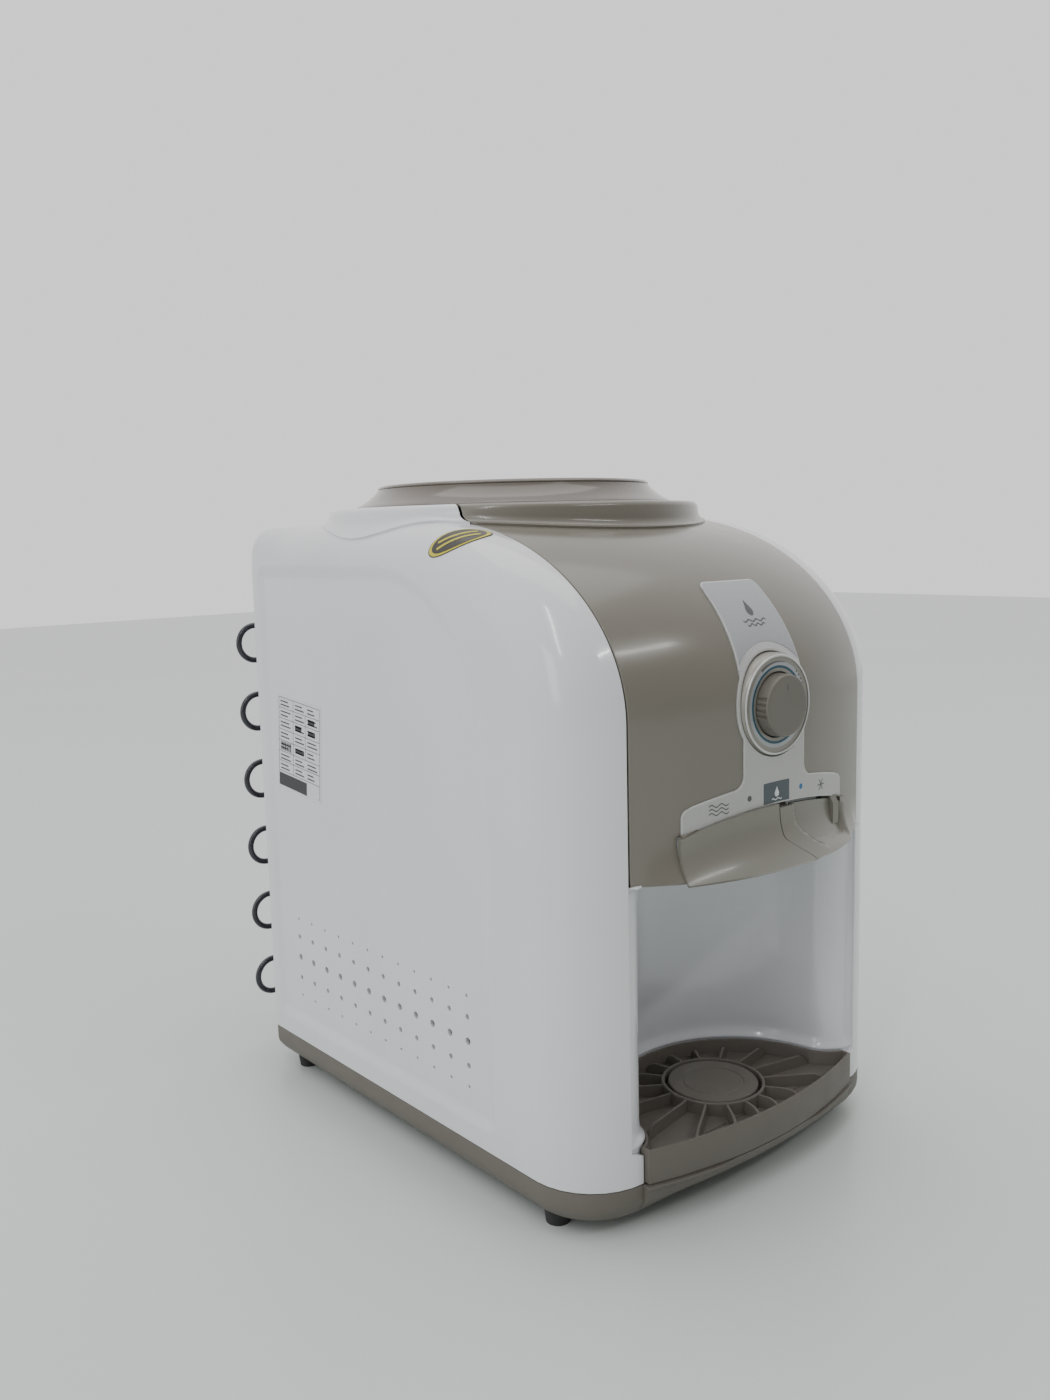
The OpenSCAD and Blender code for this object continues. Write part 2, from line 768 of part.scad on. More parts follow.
module cap_ring() {
    z = collar_top + 0.2;
    color(taupe) translate([0, axis_y, 0]) rotate_extrude($fn = fine) polygon([
        [cap_r, z], [cap_r, z + 2], [cap_r - 20.6, cap_top - 1.2], [cap_r - 22.4, cap_top],
        [cap_r - 25.2, cap_top], [cap_r - 26.6, cap_top - 1.6], [cap_r - 26.6, z], [cap_r - 23.8, z],
        [cap_r - 23.8, cap_top - 3.8], [cap_r - 21.6, cap_top - 3.8], [cap_r - 11.2, z + 6.9],
        [cap_r - 11.2, z - 8], [cap_r - 8.6, z - 8], [cap_r - 8.6, z + 4.7], [cap_r - 5.6, z + 2.2],
        [cap_r - 5.6, z]]);
}

funnel_r = 112;
funnel_low = 447;
funnel_high = 457;
neck_low = 405;
module bottle_funnel() {
    color(clear_white) translate([0, axis_y, 0]) rotate_extrude($fn = fine) polygon([
        [neck_r, neck_low], [neck_r, funnel_low], [funnel_r - 4, funnel_high], [funnel_r, funnel_high],
        [funnel_r, funnel_high - 2.5], [98, funnel_high - 3.9], [98, lid_z + lid_t + fit],
        [95.5, lid_z + lid_t + fit], [95.5, funnel_high - 4.2], [neck_r + 2.5, funnel_low - 2.8],
        [neck_r + 2.5, neck_low]]);
}

spike_r = 9;
module feed_spike() {
    color(white) translate([0, axis_y, 0]) difference() {
        union() {
            rotate_extrude($fn = plain) polygon([
                [6.5, neck_low + 2], [6.5, funnel_low], [0, funnel_low + 4], [0, funnel_low + 9],
                [3, funnel_low + 8], [spike_r, funnel_low], [spike_r, neck_low + 2]]);
            for (i = [0 : 3]) rotate([0, 0, 45 + i * 90])
                block([spike_r - 1, -1.2, neck_low + 2], [neck_r - fit, 1.2, neck_low + 18]);
        }
        for (i = [0 : 2]) rotate([0, 0, i * 60])
            block([-spike_r - past, -2, 430], [spike_r + past, 2, 444]);
    }
}

tank_top = 436;
tank_floor = 230;
tank_wall = 2;
seal_t = 1.5;
lid_z = tank_top + seal_t;
lid_t = 3;
module tank_lid() {
    color(clear_white) difference() {
        rod_z(0, axis_y, lid_z + fit, lid_z + lid_t, 97, fine);
        rod_z(0, axis_y, lid_z - past, lid_z + lid_t + past, neck_r + 2.5 + gap, fine);
    }
}

module tank_seal() {
    color(black) difference() {
        rod_z(0, axis_y, tank_top + fit / 2, tank_top + seal_t, 95, fine);
        rod_z(0, axis_y, tank_top - past, tank_top + seal_t + past, 90, fine);
    }
}

cold_z = 240;
ambient_z = 350;
coil_low = 254;
coil_high = 320;
coil_r = reservoir_r + 6;
coil_tube_r = 3;
foam_in = 98.5;
foam_r = 112;
foam_low = 222;
foam_high = 432;
stub_y = axis_y - reservoir_r - 4;
module reservoir() {
    color(steel) difference() {
        union() {
            rod_z(0, axis_y, tank_floor, tank_top, reservoir_r, fine);
            rod_z(0, axis_y, tank_top - 2, tank_top, 97, fine);
            rod_y(tap_x, cold_z, stub_y, axis_y - reservoir_r + 8, 5, plain);
            rod_y(-tap_x, ambient_z, stub_y, axis_y - reservoir_r + 8, 5, plain);
        }
        rod_z(0, axis_y, tank_floor + tank_wall, tank_top + past, reservoir_r - tank_wall, fine);
        rod_y(tap_x, cold_z, stub_y - past, axis_y - reservoir_r + 9, 3, plain);
        rod_y(-tap_x, ambient_z, stub_y - past, axis_y - reservoir_r + 9, 3, plain);
        rod_z(0, axis_y, tank_floor - past, tank_floor + tank_wall + past, 4, plain);
    }
}

baffle_z = 330;
module separator_baffle() {
    color(white) difference() {
        union() {
            rod_z(0, axis_y, baffle_z, baffle_z + 3, reservoir_r - tank_wall - gap, fine);
            rod_z(0, axis_y, 262, baffle_z + 1, 12, plain);
        }
        rod_z(0, axis_y, 261, baffle_z + 4, 10, plain);
        for (i = [0 : 5])
            translate([0, axis_y, 0]) rotate([0, 0, i * 60])
                rod_z(reservoir_r - 10, 0, baffle_z - past, baffle_z + 4, 2.5, 16);
    }
}

coil_turns = 6;
coil_rings = 20;
module evaporator_coil() {
    color(copper) tube([for (i = [0 : coil_turns * coil_rings])
        let (a = 90 + i * 360 / coil_rings, s = i / (coil_turns * coil_rings))
            [coil_r * cos(a), axis_y + coil_r * sin(a), coil_low + (coil_high - coil_low) * s]],
        coil_tube_r, 8);
}

probe_x = 34;
probe_z = 338;
module insulation() {
    difference() {
        rod_z(0, axis_y, foam_low, foam_high, foam_r, fine);
        rod_z(0, axis_y, tank_floor - fit, foam_high + past, foam_in, fine);
        rod_z(0, axis_y, foam_low - past, tank_floor + past, 7, plain);
        rod_y(tap_x, cold_z, axis_y - foam_r - past, axis_y, 5.6, plain);
        rod_y(-tap_x, ambient_z, axis_y - foam_r - past, axis_y, 6.5, plain);
        rod_y(probe_x, probe_z, axis_y - foam_r - past, axis_y, 1.6, 16);
        for (z = [coil_low, coil_high])
            rod_y(0, z, axis_y, axis_y + foam_r + past, coil_tube_r + 0.6, plain);
    }
}

module insulation_front() {
    color(foam) intersection() {
        insulation();
        block([-foam_r, axis_y - foam_r, foam_low], [foam_r, axis_y - gap, foam_high]);
    }
}

module insulation_rear() {
    color(foam) intersection() {
        insulation();
        block([-foam_r, axis_y + gap, foam_low], [foam_r, axis_y + foam_r, foam_high]);
    }
}

// ---------------------------------------------------------------- hoses and wires

tap_inlet_y = chamber_back + 14 + fit;
cold_route = [[tap_x, tap_inlet_y, tap_z], [tap_x, -118, tap_z], [22, -95, 238], [tap_x, -72, cold_z],
    [tap_x, stub_y - fit, cold_z]];
ambient_route = [[-tap_x, tap_inlet_y, tap_z], [-tap_x, -122, tap_z], [-24, -106, 252], [-26, -98, 284],
    [-26, -98, 318], [-24, -92, 342], [-tap_x, -80, ambient_z], [-tap_x, stub_y - fit, ambient_z]];
module hose_cold() { color(clear_white) tube(smooth_route(cold_route), 5, 10); }

module hose_ambient() { color(clear_white) tube(smooth_route(ambient_route), 5, 10); }

probe_route = [[12, thermo_front + thermo_d + fit, 334], [13, -140, 336], [24, -118, 352], [40, -104, 350],
    [36, -90, 340], [probe_x, -76, probe_z], [probe_x, -42, probe_z]];
module thermostat_capillary() { color(copper) tube(smooth_route(probe_route), 1, 6); }

// ---------------------------------------------------------------- cooling unit

comp_x = 36;
comp_y = 100;
comp_z = 47;
plate_z = base_h + gap;
plate_t = 1.5;
grommet_h = 10;
mount_dx = 56;
mount_dy = 56;
module chassis_plate() {
    color(steel) difference() {
        block([-146, -62, plate_z], [146, 184, plate_z + plate_t]);
        for (sx = [-1, 1])
            for (sy = [-1, 1])
                rod_z(comp_x + sx * mount_dx, comp_y + sy * mount_dy,
                    plate_z - past, plate_z + 3, 3 + fit, 16);
    }
}

module compressor() {
    r = compressor_r;
    color(black) difference() {
        union() {
            translate([comp_x, comp_y, 0]) rotate_extrude($fn = fine) polygon(concat(
                [[0, comp_z]],
                arc(r - 18, comp_z + 18, 18, -90, 0, 8),
                [[r, comp_z + 52], [r + 4, comp_z + 52], [r + 4, comp_z + 56], [r, comp_z + 56]],
                arc(r - 30, comp_z + 84, 30, 0, 60, 8),
                [[18, comp_z + 118], [0, comp_z + 119]]));
            block([comp_x - mount_dx - 14, comp_y - mount_dy - 10, comp_z - 2.5],
                [comp_x + mount_dx + 14, comp_y - mount_dy + 14, comp_z + 0.5]);
            block([comp_x - mount_dx - 14, comp_y + mount_dy - 14, comp_z - 2.5],
                [comp_x + mount_dx + 14, comp_y + mount_dy + 10, comp_z + 0.5]);
            rod_z(comp_x + 34, comp_y + 30, comp_z + 90, comp_z + 118, 4, plain);
            rod_x(comp_y + 20, comp_z + 40, comp_x + r - 12, comp_x + r + 12, 4, plain);
        }
        for (sx = [-1, 1])
            for (sy = [-1, 1])
                rod_z(comp_x + sx * mount_dx, comp_y + sy * mount_dy, comp_z - 3.5, comp_z + 1.5, 5.5, plain);
    }
}

module compressor_grommets() {
    z0 = plate_z + plate_t + fit;
    color([0.15, 0.15, 0.15])
        for (sx = [-1, 1])
            for (sy = [-1, 1])
                translate([comp_x + sx * mount_dx, comp_y + sy * mount_dy, 0])
                    rotate_extrude($fn = plain) polygon([
                    [3.2, z0], [9, z0], [9, comp_z - 2.6], [5.3, comp_z - 2.6], [5.3, comp_z + 0.6],
                    [8, comp_z + 0.6], [8, comp_z + 3.5], [3.2, comp_z + 3.5]]);
}

module compressor_bolts() {
    color(steel)
        for (sx = [-1, 1])
            for (sy = [-1, 1])
                translate([comp_x + sx * mount_dx, comp_y + sy * mount_dy, 0]) union() {
                    rod_z(0, 0, plate_z - 6, comp_z + 4, 3, 24);
                    rod_z(0, 0, comp_z + 3.6, comp_z + 8, 5.5, 6);
                }
}

relay_x = comp_x - compressor_r - 24;
module compressor_cover() {
    color([0.2, 0.2, 0.22]) difference() {
        block([relay_x, comp_y - 26, comp_z + 18], [relay_x + 40, comp_y + 26, comp_z + 50]);
        rod_z(comp_x, comp_y, comp_z, comp_z + 60, compressor_r + gap, fine);
    }
}

harness_route = [[-12, thermo_front + thermo_d + fit, 320], [-14, -142, 318], [-60, -125, 290],
    [-118, -100, 240], [-136, -40, 170], [-136, 20, 110], [-110, 76, 86], [-72, comp_y, 85],
    [relay_x - fit, comp_y, 85]];
module wiring_harness() { color(black) tube(smooth_route(harness_route), 2.5, 8); }

drier_x = -98;
drier_y = 128;
module filter_drier() {
    color(copper) translate([drier_x, drier_y, 0]) rotate_extrude($fn = plain) polygon([
        [0, 78], [3, 78], [3, 84], [9.5, 94], [9.5, 164], [2.4, 176], [2.4, 184], [0, 184]]);
}

condenser_y = back_y + condenser_out - tube_r - 1.55;
condenser_z = 44;
condenser_x = 132.9;
run_end_x = 100;
bend_r = run_pitch / 2;
pass_x = 118;
top_run = condenser_z + (run_count - 1) * run_pitch;

// A half turn of the condenser between run i and the next one
module condenser_bend(side, i) {
    translate([side * condenser_x, condenser_y, condenser_z + (i + 0.5) * run_pitch])
        rotate([90, 0, 0]) rotate([0, 0, side > 0 ? -90 : 90])
            rotate_extrude(angle = 180, $fn = fine) translate([bend_r, 0]) circle(r = tube_r, $fn = plain);
}

module condenser_tube() {
    color(black) union() {
        for (i = [0 : run_count - 1])
            rod_x(condenser_y, condenser_z + i * run_pitch, -condenser_x,
                (i == 0 || i == run_count - 1) ? run_end_x : condenser_x, tube_r, plain);
        for (i = [0 : run_count - 2])
            condenser_bend(i % 2 == 0 ? -1 : 1, i);
    }
}

wire_r = 0.75;
wire_count = 17;
wire_span = 188.8;
module condenser_wires() {
    color(black)
        for (i = [0 : wire_count - 1])
            for (side = [-1, 1])
                rod_z(-wire_span / 2 + i * wire_span / (wire_count - 1),
                    condenser_y + side * (tube_r + wire_r + fit),
                    condenser_z - 8, top_run + 8, wire_r, 16);
}

bracket_x = 88.5;
bracket_runs = [1, 5, 9];
module condenser_brackets() {
    y0 = back_y - wall - fit;
    color(steel)
        for (side = [0, 1]) mirror([side, 0, 0]) difference() {
            union() {
                block([bracket_x - 9, y0, condenser_z + run_pitch - 12],
                    [bracket_x + 9, y0 + 1.5, top_run - 40]);
                for (i = bracket_runs) {
                    z = condenser_z + i * run_pitch;
                    block([bracket_x - 1, y0, z - 3], [bracket_x + 1, condenser_y, z + 3]);
                    rod_x(condenser_y, z, bracket_x - 1, bracket_x + 1, tube_r + 1.4, plain);
                }
            }
            for (i = bracket_runs)
                rod_x(condenser_y, condenser_z + i * run_pitch,
                    bracket_x - 3, bracket_x + 3, tube_r + fit, plain);
        }
}

panel_y = back_y - wall - 0.1;
panel_t = 1.2;
discharge_route = [[comp_x + compressor_r + 12 + fit, comp_y + 20, comp_z + 40],
    [120, comp_y + 24, comp_z + 42], [134, 132, 104], [136, 142, 140],
    [136, 146, 240], [134, 152, 320], [126, 168, 356], [pass_x, 186, 366],
    [pass_x, 212, top_run], [112, 228, top_run], [run_end_x + fit, condenser_y, top_run]];
liquid_route = [[run_end_x + fit, condenser_y, condenser_z], [110, condenser_y - 3, condenser_z],
    [pass_x, 220, 48], [pass_x, 206, 54], [pass_x, 188, 56], [108, 178, 52], [40, 176, 46],
    [-50, 174, 44], [-92, 158, 48], [drier_x, 136, 60], [drier_x, drier_y, 78 - fit]];
suction_route = [[0, axis_y + coil_r + 3.2, coil_high], [0, axis_y + foam_r - 6, coil_high],
    [0, axis_y + foam_r + 5, coil_high - 1], [3, 172, 312],
    [14, 176, 290], [40, 174, 240], [64, 160, 200], [comp_x + 34, comp_y + 34, 180],
    [comp_x + 34, comp_y + 30, comp_z + 118 + fit]];
capillary_route = [[drier_x, drier_y, 184 + fit], [drier_x, 132, 194], [-80, 156, 204], [-40, 172, 214],
    [-10, 174, 236], [0, 168, 250], [0, axis_y + foam_r, coil_low], [0, axis_y + coil_r + 3.2, coil_low]];
module discharge_line() { color(copper) tube(smooth_route(discharge_route), 2.5, 8); }

module liquid_line() { color(copper) tube(smooth_route(liquid_route), 2.5, 8); }

module suction_line() { color(copper) tube(smooth_route(suction_route), 3, 8); }

module capillary_tube() { color(copper) tube(smooth_route(capillary_route), 1.2, 6); }

// ---------------------------------------------------------------- back

gland_x = -118;
gland_z = 62;
gland_r = 8;
cord_r = 4;
drain_x = -70;
drain_z = 62;
drain_r = 5;
screw_x = half_w - 9;
screw_r = 2;
screw_heights = [60, 180, 300, 418];
base_screw_ys = [-40, 150];
louvre_count = 9;
module rear_panel() {
    color(steel) difference() {
        block([-half_w + wall + gap, panel_y - panel_t, base_h + 2 * wall],
            [half_w - wall - gap, panel_y, body_h - 22]);
        rod_y(pass_x, 366, panel_y - 5, panel_y + 5, 5, plain);
        rod_y(pass_x, 56, panel_y - 5, panel_y + 5, 5, plain);
        rod_y(gland_x, gland_z, panel_y - 5, panel_y + 5, gland_r + fit, plain);
        rod_y(drain_x, drain_z, panel_y - 5, panel_y + 5, drain_r + gap, plain);
        for (i = [0 : louvre_count - 1])
            block([-55, panel_y - 5, 96 + i * 10], [55, panel_y + 5, 99.5 + i * 10]);
        for (x = [-screw_x, screw_x])
            for (z = screw_heights)
                rod_y(x, z, panel_y - 5, panel_y + 5, screw_r + fit, 16);
    }
}

module cord_gland() {
    color(black) difference() {
        union() {
            rod_y(gland_x, gland_z, panel_y - panel_t - 4, panel_y + 8, gland_r, plain);
            rod_y(gland_x, gland_z, panel_y + fit, panel_y + 3, gland_r + 3, plain);
        }
        rod_y(gland_x, gland_z, panel_y - 10, panel_y + 10, cord_r, plain);
    }
}

drain_route = [[0, axis_y, tank_floor - fit], [0, axis_y, 214], [-8, 52, 202], [-40, 90, 190],
    [-66, 130, 160], [drain_x, 150, 110], [drain_x, 160, 76], [drain_x, 174, drain_z],
    [drain_x, back_y - 2, drain_z], [drain_x, back_y + 5.6, drain_z]];
module drain_pipe() { color(clear_white) tube(smooth_route(drain_route), drain_r, 10); }

module drain_cap() {
    color(white) union() {
        rod_y(drain_x, drain_z, back_y + 6 + fit, back_y + 16, 9, 24);
        rod_y(drain_x, drain_z, back_y + 15, back_y + 18, 7, 24);
    }
}

module rear_screws() {
    color(steel)
        for (x = [-screw_x, screw_x])
            for (z = screw_heights)
                difference() {
                    union() {
                        rod_y(x, z, panel_y - panel_t - 6, back_y + 1, screw_r, 16);
                        rod_y(x, z, back_y + fit, back_y + 2.4, 4, 24);
                    }
                    block([x - 2.4, back_y + 1.4, z - 0.5], [x + 2.4, back_y + 3, z + 0.5]);
                    block([x - 0.5, back_y + 1.4, z - 2.4], [x + 0.5, back_y + 3, z + 2.4]);
                }
}

module base_screws() {
    color(steel)
        for (x = [-rail_x + 12, rail_x - 12])
            for (y = base_screw_ys)
                difference() {
                    union() {
                        rod_z(x, y, foot_h - 1, foot_h + wall + 8, screw_r, 16);
                        rod_z(x, y, foot_h - 2.4, foot_h - fit, 4, 24);
                    }
                    block([x - 2.4, y - 0.5, foot_h - 3], [x + 2.4, y + 0.5, foot_h - 1.4]);
                    block([x - 0.5, y - 2.4, foot_h - 3], [x + 0.5, y + 2.4, foot_h - 1.4]);
                }
}

// ---------------------------------------------------------------- labels

label_t = 0.2;
rating_y = 129.5;
rating_z = 278;
rating_turn = 5;
module rating_label() {
    x = inset_depth - half_w;
    color(white) translate([x - label_t - fit, rating_y, rating_z]) rotate([rating_turn, 0, 0])
        block([0, -33.5, -38.5], [label_t, 33.5, 38.5]);
}

oval_centre = [-136, -69];
oval_long = 23.3;
oval_short = 13;
oval_turn = -59;
module oval_sticker() {
    color([0.15, 0.15, 0.15]) intersection() {
        difference() {
            body_block(-label_t - fit, base_h);
            body_block(-fit, base_h - 1);
        }
        translate([oval_centre[0], oval_centre[1], body_h / 2]) rotate([0, 0, oval_turn])
            upwards(0, body_h) polygon([for (i = [0 : 31])
                [oval_long * cos(i * 360 / 32), oval_short * sin(i * 360 / 32)]]);
    }
}

// ---------------------------------------------------------------- the whole machine

side_panel_left();
side_panel_right();
front_cover();
front_trim();
control_marks();
dial_bezel();
dial_scale_ring();
thermostat_knob();
thermostat_shaft();
thermostat_body();
thermostat_capillary();
lever_left();
lever_right();
lever_pins();
tap_bracket();
tap_left();
tap_right();
stem_left();
stem_right();
spring_left();
spring_right();
niche_liner();
base_pan();
feet();
drip_tray();
drip_insert();
cap_ring();
bottle_funnel();
feed_spike();
tank_lid();
tank_seal();
reservoir();
separator_baffle();
evaporator_coil();
insulation_front();
insulation_rear();
hose_ambient();
hose_cold();
chassis_plate();
compressor();
compressor_cover();
compressor_grommets();
compressor_bolts();
discharge_line();
liquid_line();
suction_line();
filter_drier();
capillary_tube();
rear_panel();
condenser_tube();
condenser_wires();
condenser_brackets();
drain_pipe();
drain_cap();
cord_gland();
wiring_harness();
rear_screws();
base_screws();
rating_label();
oval_sticker();
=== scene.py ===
import json
import math

import bmesh
import bpy
import numpy as np
from mathutils import Matrix, Vector
from mathutils.geometry import delaunay_2d_cdt


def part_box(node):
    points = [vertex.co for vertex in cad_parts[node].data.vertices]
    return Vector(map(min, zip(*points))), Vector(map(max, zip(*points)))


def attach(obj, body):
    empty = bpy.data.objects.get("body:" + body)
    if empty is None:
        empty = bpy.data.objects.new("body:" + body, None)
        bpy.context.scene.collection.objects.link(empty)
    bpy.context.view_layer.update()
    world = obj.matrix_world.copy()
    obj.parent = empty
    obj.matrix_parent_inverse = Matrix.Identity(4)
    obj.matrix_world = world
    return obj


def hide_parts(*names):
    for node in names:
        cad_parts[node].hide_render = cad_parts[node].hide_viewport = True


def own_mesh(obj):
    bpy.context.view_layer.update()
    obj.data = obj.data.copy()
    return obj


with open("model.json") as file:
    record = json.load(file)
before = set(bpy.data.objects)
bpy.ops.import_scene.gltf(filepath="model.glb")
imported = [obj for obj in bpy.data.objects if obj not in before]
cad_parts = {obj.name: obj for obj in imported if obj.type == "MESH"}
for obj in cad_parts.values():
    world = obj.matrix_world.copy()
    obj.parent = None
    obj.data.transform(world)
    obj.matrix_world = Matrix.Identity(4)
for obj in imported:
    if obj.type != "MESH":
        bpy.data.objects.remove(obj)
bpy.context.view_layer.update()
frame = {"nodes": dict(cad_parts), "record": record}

# ------------------------------------------------------------------ sizes, in millimetres
# Shapes are worked out in millimetres in the CAD frame, and turned into metres as a mesh is made.
MM = 0.001


def corners(node):
    """Lowest and highest corner of a CAD node, in millimetres."""
    low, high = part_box(node)
    return np.array(low) / MM, np.array(high) / MM


def arc_radius(half, rise):
    """Radius of the arc that rises by rise over a chord of 2 * half."""
    return (half ** 2 + rise ** 2) / (2 * rise)


side_low, side_high = corners("side_panel_left")
base_low, base_high = corners("base_pan")
ring_low, ring_high = corners("cap_ring")
lever_low = corners("lever_left")[0]
bezel_low, bezel_high = corners("dial_bezel")
knob_low, knob_high = corners("thermostat_knob")
trim_high = corners("front_trim")[1]
tray_low, tray_high = corners("drip_tray")

HALF_W, FRONT_Y, BACK_Y = -side_low[0], side_low[1], side_high[1]
FOOT_Z, BASE_Z, COLLAR_Z = base_low[2], base_high[2], side_high[2]
AXIS_Y = (ring_low[1] + ring_high[1]) / 2
LIP_Y, LIP_Z = lever_low[1], lever_low[2]
COVER_Z = corners("front_cover")[0][2]
DIAL_Z = (bezel_low[2] + bezel_high[2]) / 2
BEZEL_R, KNOB_R = bezel_high[0], knob_high[0]
FACE_Y, KNOB_Y = bezel_low[1], knob_low[1]
LABEL_W, STRIP_TOP = trim_high[0], trim_high[2]
TRAY_W, TRAY_FRONT = tray_high[0], tray_low[1]
TRAY_LOW, TRAY_Z = tray_low[2], tray_high[2]

# The crown is a quarter ellipse, and the front cover bulges forward in plan.
DECK_Z = 450.0
CROWN_D, CROWN_H = 182.7, 125.0
CROWN_Y, CROWN_Z = FRONT_Y + CROWN_D, DECK_Z - CROWN_H
COVER_X, SEAM = 115.0, 0.65
PANEL_X = COVER_X + SEAM + 0.2
BULGE = 17.6
BULGE_R = arc_radius(COVER_X, BULGE)
BULGE_Y = FRONT_Y - BULGE + BULGE_R
# Roundings of the body: rear top, front corner, upper edge and back edge.
REAR_R, CORNER_R, EDGE_R, BACK_FILLET = 20.0, 49.0, 27.0, 5.0
# The collar, the hole in it, and the cut that the panels have under it.
COLLAR_R, COLLAR_HOLE, SKIRT_R = 143.0, 118.0, 127.0
# The levers and their window, and the label arc above them.
LEVER_W = 81.5
WINDOW_X = LEVER_W + 2.0
LABEL_RISE, LABEL_Z, LABEL_BAND = 9.6, 253.8, 15.5
LABEL_R = arc_radius(LABEL_W, LABEL_RISE)
LABEL_CZ = LABEL_Z + LABEL_RISE - LABEL_R
LIP_R = arc_radius(COVER_X, FRONT_Y - LIP_Y)

# ------------------------------------------------------------------ mesh helpers


def unit(v):
    return v / np.maximum(np.linalg.norm(v, axis=-1, keepdims=True), 1e-12)


def smooth(t):
    """0 to 1, level at both ends."""
    t = np.clip(t, 0, 1)
    return t * t * (3 - 2 * t)


def make(name, points, faces, normals=None, sharp=35):
    """A mesh object from points in millimetres. normals holds one normal per face corner."""
    mesh = bpy.data.meshes.new(name)
    mesh.from_pydata((np.asarray(points, float) * MM).tolist(), [], [list(map(int, f)) for f in faces])
    mesh.polygons.foreach_set("use_smooth", [True] * len(mesh.polygons))
    if normals is None:
        mesh.set_sharp_from_angle(angle=math.radians(sharp))
    else:
        mesh.normals_split_custom_set([tuple(n) for face in normals for n in face])
    mesh.update()
    piece = bpy.data.objects.new(name, mesh)
    bpy.context.scene.collection.objects.link(piece)
    return piece


def finish_piece(piece, body, slot, material, *nodes):
    """Gives a piece its material, its body and the CAD nodes that it stands for; slot is not used."""
    piece.data.materials.clear()
    piece.data.materials.append(material)
    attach(piece, body)
    if nodes:
        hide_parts(*nodes)
    return piece


def join(name, pieces):
    """Joins meshes into one, by their own data, with their corner normals kept."""
    bpy.ops.object.select_all(action="DESELECT")
    for p in pieces:
        p.select_set(True)
    bpy.context.view_layer.objects.active = pieces[0]
    if len(pieces) > 1:
        bpy.ops.object.join()
    pieces[0].name = name
    pieces[0].data.name = name
    return pieces[0]


def signed_area(loop):
    x, y = loop[:, 0], loop[:, 1]
    return 0.5 * float(np.sum(x * np.roll(y, -1) - np.roll(x, -1) * y))


def oriented(loop, positive):
    loop = np.asarray(loop, float)
    return loop if (signed_area(loop) > 0) == positive else loop[::-1].copy()


def inside(points, loops):
    """Even-odd test of points against closed loops."""
    hit = np.zeros(len(points), bool)
    px, py = points[:, 0][:, None], points[:, 1][:, None]
    for loop in loops:
        a, b = loop, np.roll(loop, -1, axis=0)
        crosses = (a[:, 1][None] > py) != (b[:, 1][None] > py)
        rise = np.where(b[:, 1] == a[:, 1], 1e-12, b[:, 1] - a[:, 1])[None]
        x = a[:, 0][None] + (py - a[:, 1][None]) / rise * (b[:, 0] - a[:, 0])[None]
        hit ^= (np.sum(crosses & (px < x), axis=1) % 2).astype(bool)
    return hit


def gap_to(points, loops):
    """Distance from each point to the nearest edge of the loops."""
    best = np.full(len(points), 1e9)
    for loop in loops:
        a = loop[None]
        d = (np.roll(loop, -1, axis=0) - loop)[None]
        for i in range(0, len(points), 2000):
            p = points[i:i + 2000, None]
            t = np.clip(np.sum((p - a) * d, -1) / np.maximum(np.sum(d * d, -1), 1e-12), 0, 1)
            near = np.linalg.norm(p - (a + t[..., None] * d), axis=-1).min(1)
            best[i:i + 2000] = np.minimum(best[i:i + 2000], near)
    return best


def densify(loop, step, closed=True):
    """The loop with extra points, so that no edge is longer than step."""
    loop = np.asarray(loop, float)
    out = []
    count = len(loop) if closed else len(loop) - 1
    for i in range(count):
        a, b = loop[i], loop[(i + 1) % len(loop)]
        n = max(1, int(math.ceil(np.linalg.norm(b - a) / step)))
        out.extend(a + (b - a) * k / n for k in range(n))
    if not closed:
        out.append(loop[-1])
    return np.array(out)


def arc(cx, cy, r, a0, a1, n=12):
    a = np.radians(np.linspace(a0, a1, n + 1))
    return np.stack([cx + r * np.cos(a), cy + r * np.sin(a)], -1)


def ring(cx, cy, r, n=48):
    return arc(cx, cy, r, 0, 360, n)[:-1]


def spread(low, high, step):
    """A triangular grid of points over a rectangle."""
    rows = []
    y, odd = low[1], 0
    while y <= high[1]:
        x = np.arange(low[0] + odd * step / 2, high[0] + 1e-9, step)
        rows.append(np.stack([x, np.full(len(x), y)], -1))
        y += step * 0.866
        odd = 1 - odd
    return np.concatenate(rows)


def numeric_normal(surface, uv):
    step = 0.02
    du = surface(uv + [step, 0]) - surface(uv - [step, 0])
    dv = surface(uv + [0, step]) - surface(uv - [0, step])
    return unit(np.cross(du, dv))


def triangles(loops, extra):
    """Triangles over an outline with holes: flat points, triangles, and the point numbers of each loop."""
    edges, starts, start = [], [], 0
    for loop in loops:
        n = len(loop)
        edges += [(start + i, start + (i + 1) % n) for i in range(n)]
        starts.append(start)
        start += n
    out = delaunay_2d_cdt([Vector(c) for c in np.concatenate(loops + [extra])], edges, [], 0, 1e-6)
    flat = np.array([tuple(v) for v in out[0]])
    found = {source: j for j, sources in enumerate(out[3]) for source in sources}
    tris = np.array(out[2])
    tris = tris[inside(flat[tris].mean(1), loops)]
    area = np.cross(flat[tris[:, 1]] - flat[tris[:, 0]], flat[tris[:, 2]] - flat[tris[:, 0]])
    tris = np.where((area < 0)[:, None], tris[:, ::-1], tris)[np.abs(area) > 1e-9]
    rims = [np.array([found[start + i] for i in range(len(loop))]) for start, loop in zip(starts, loops)]
    return flat, tris, rims


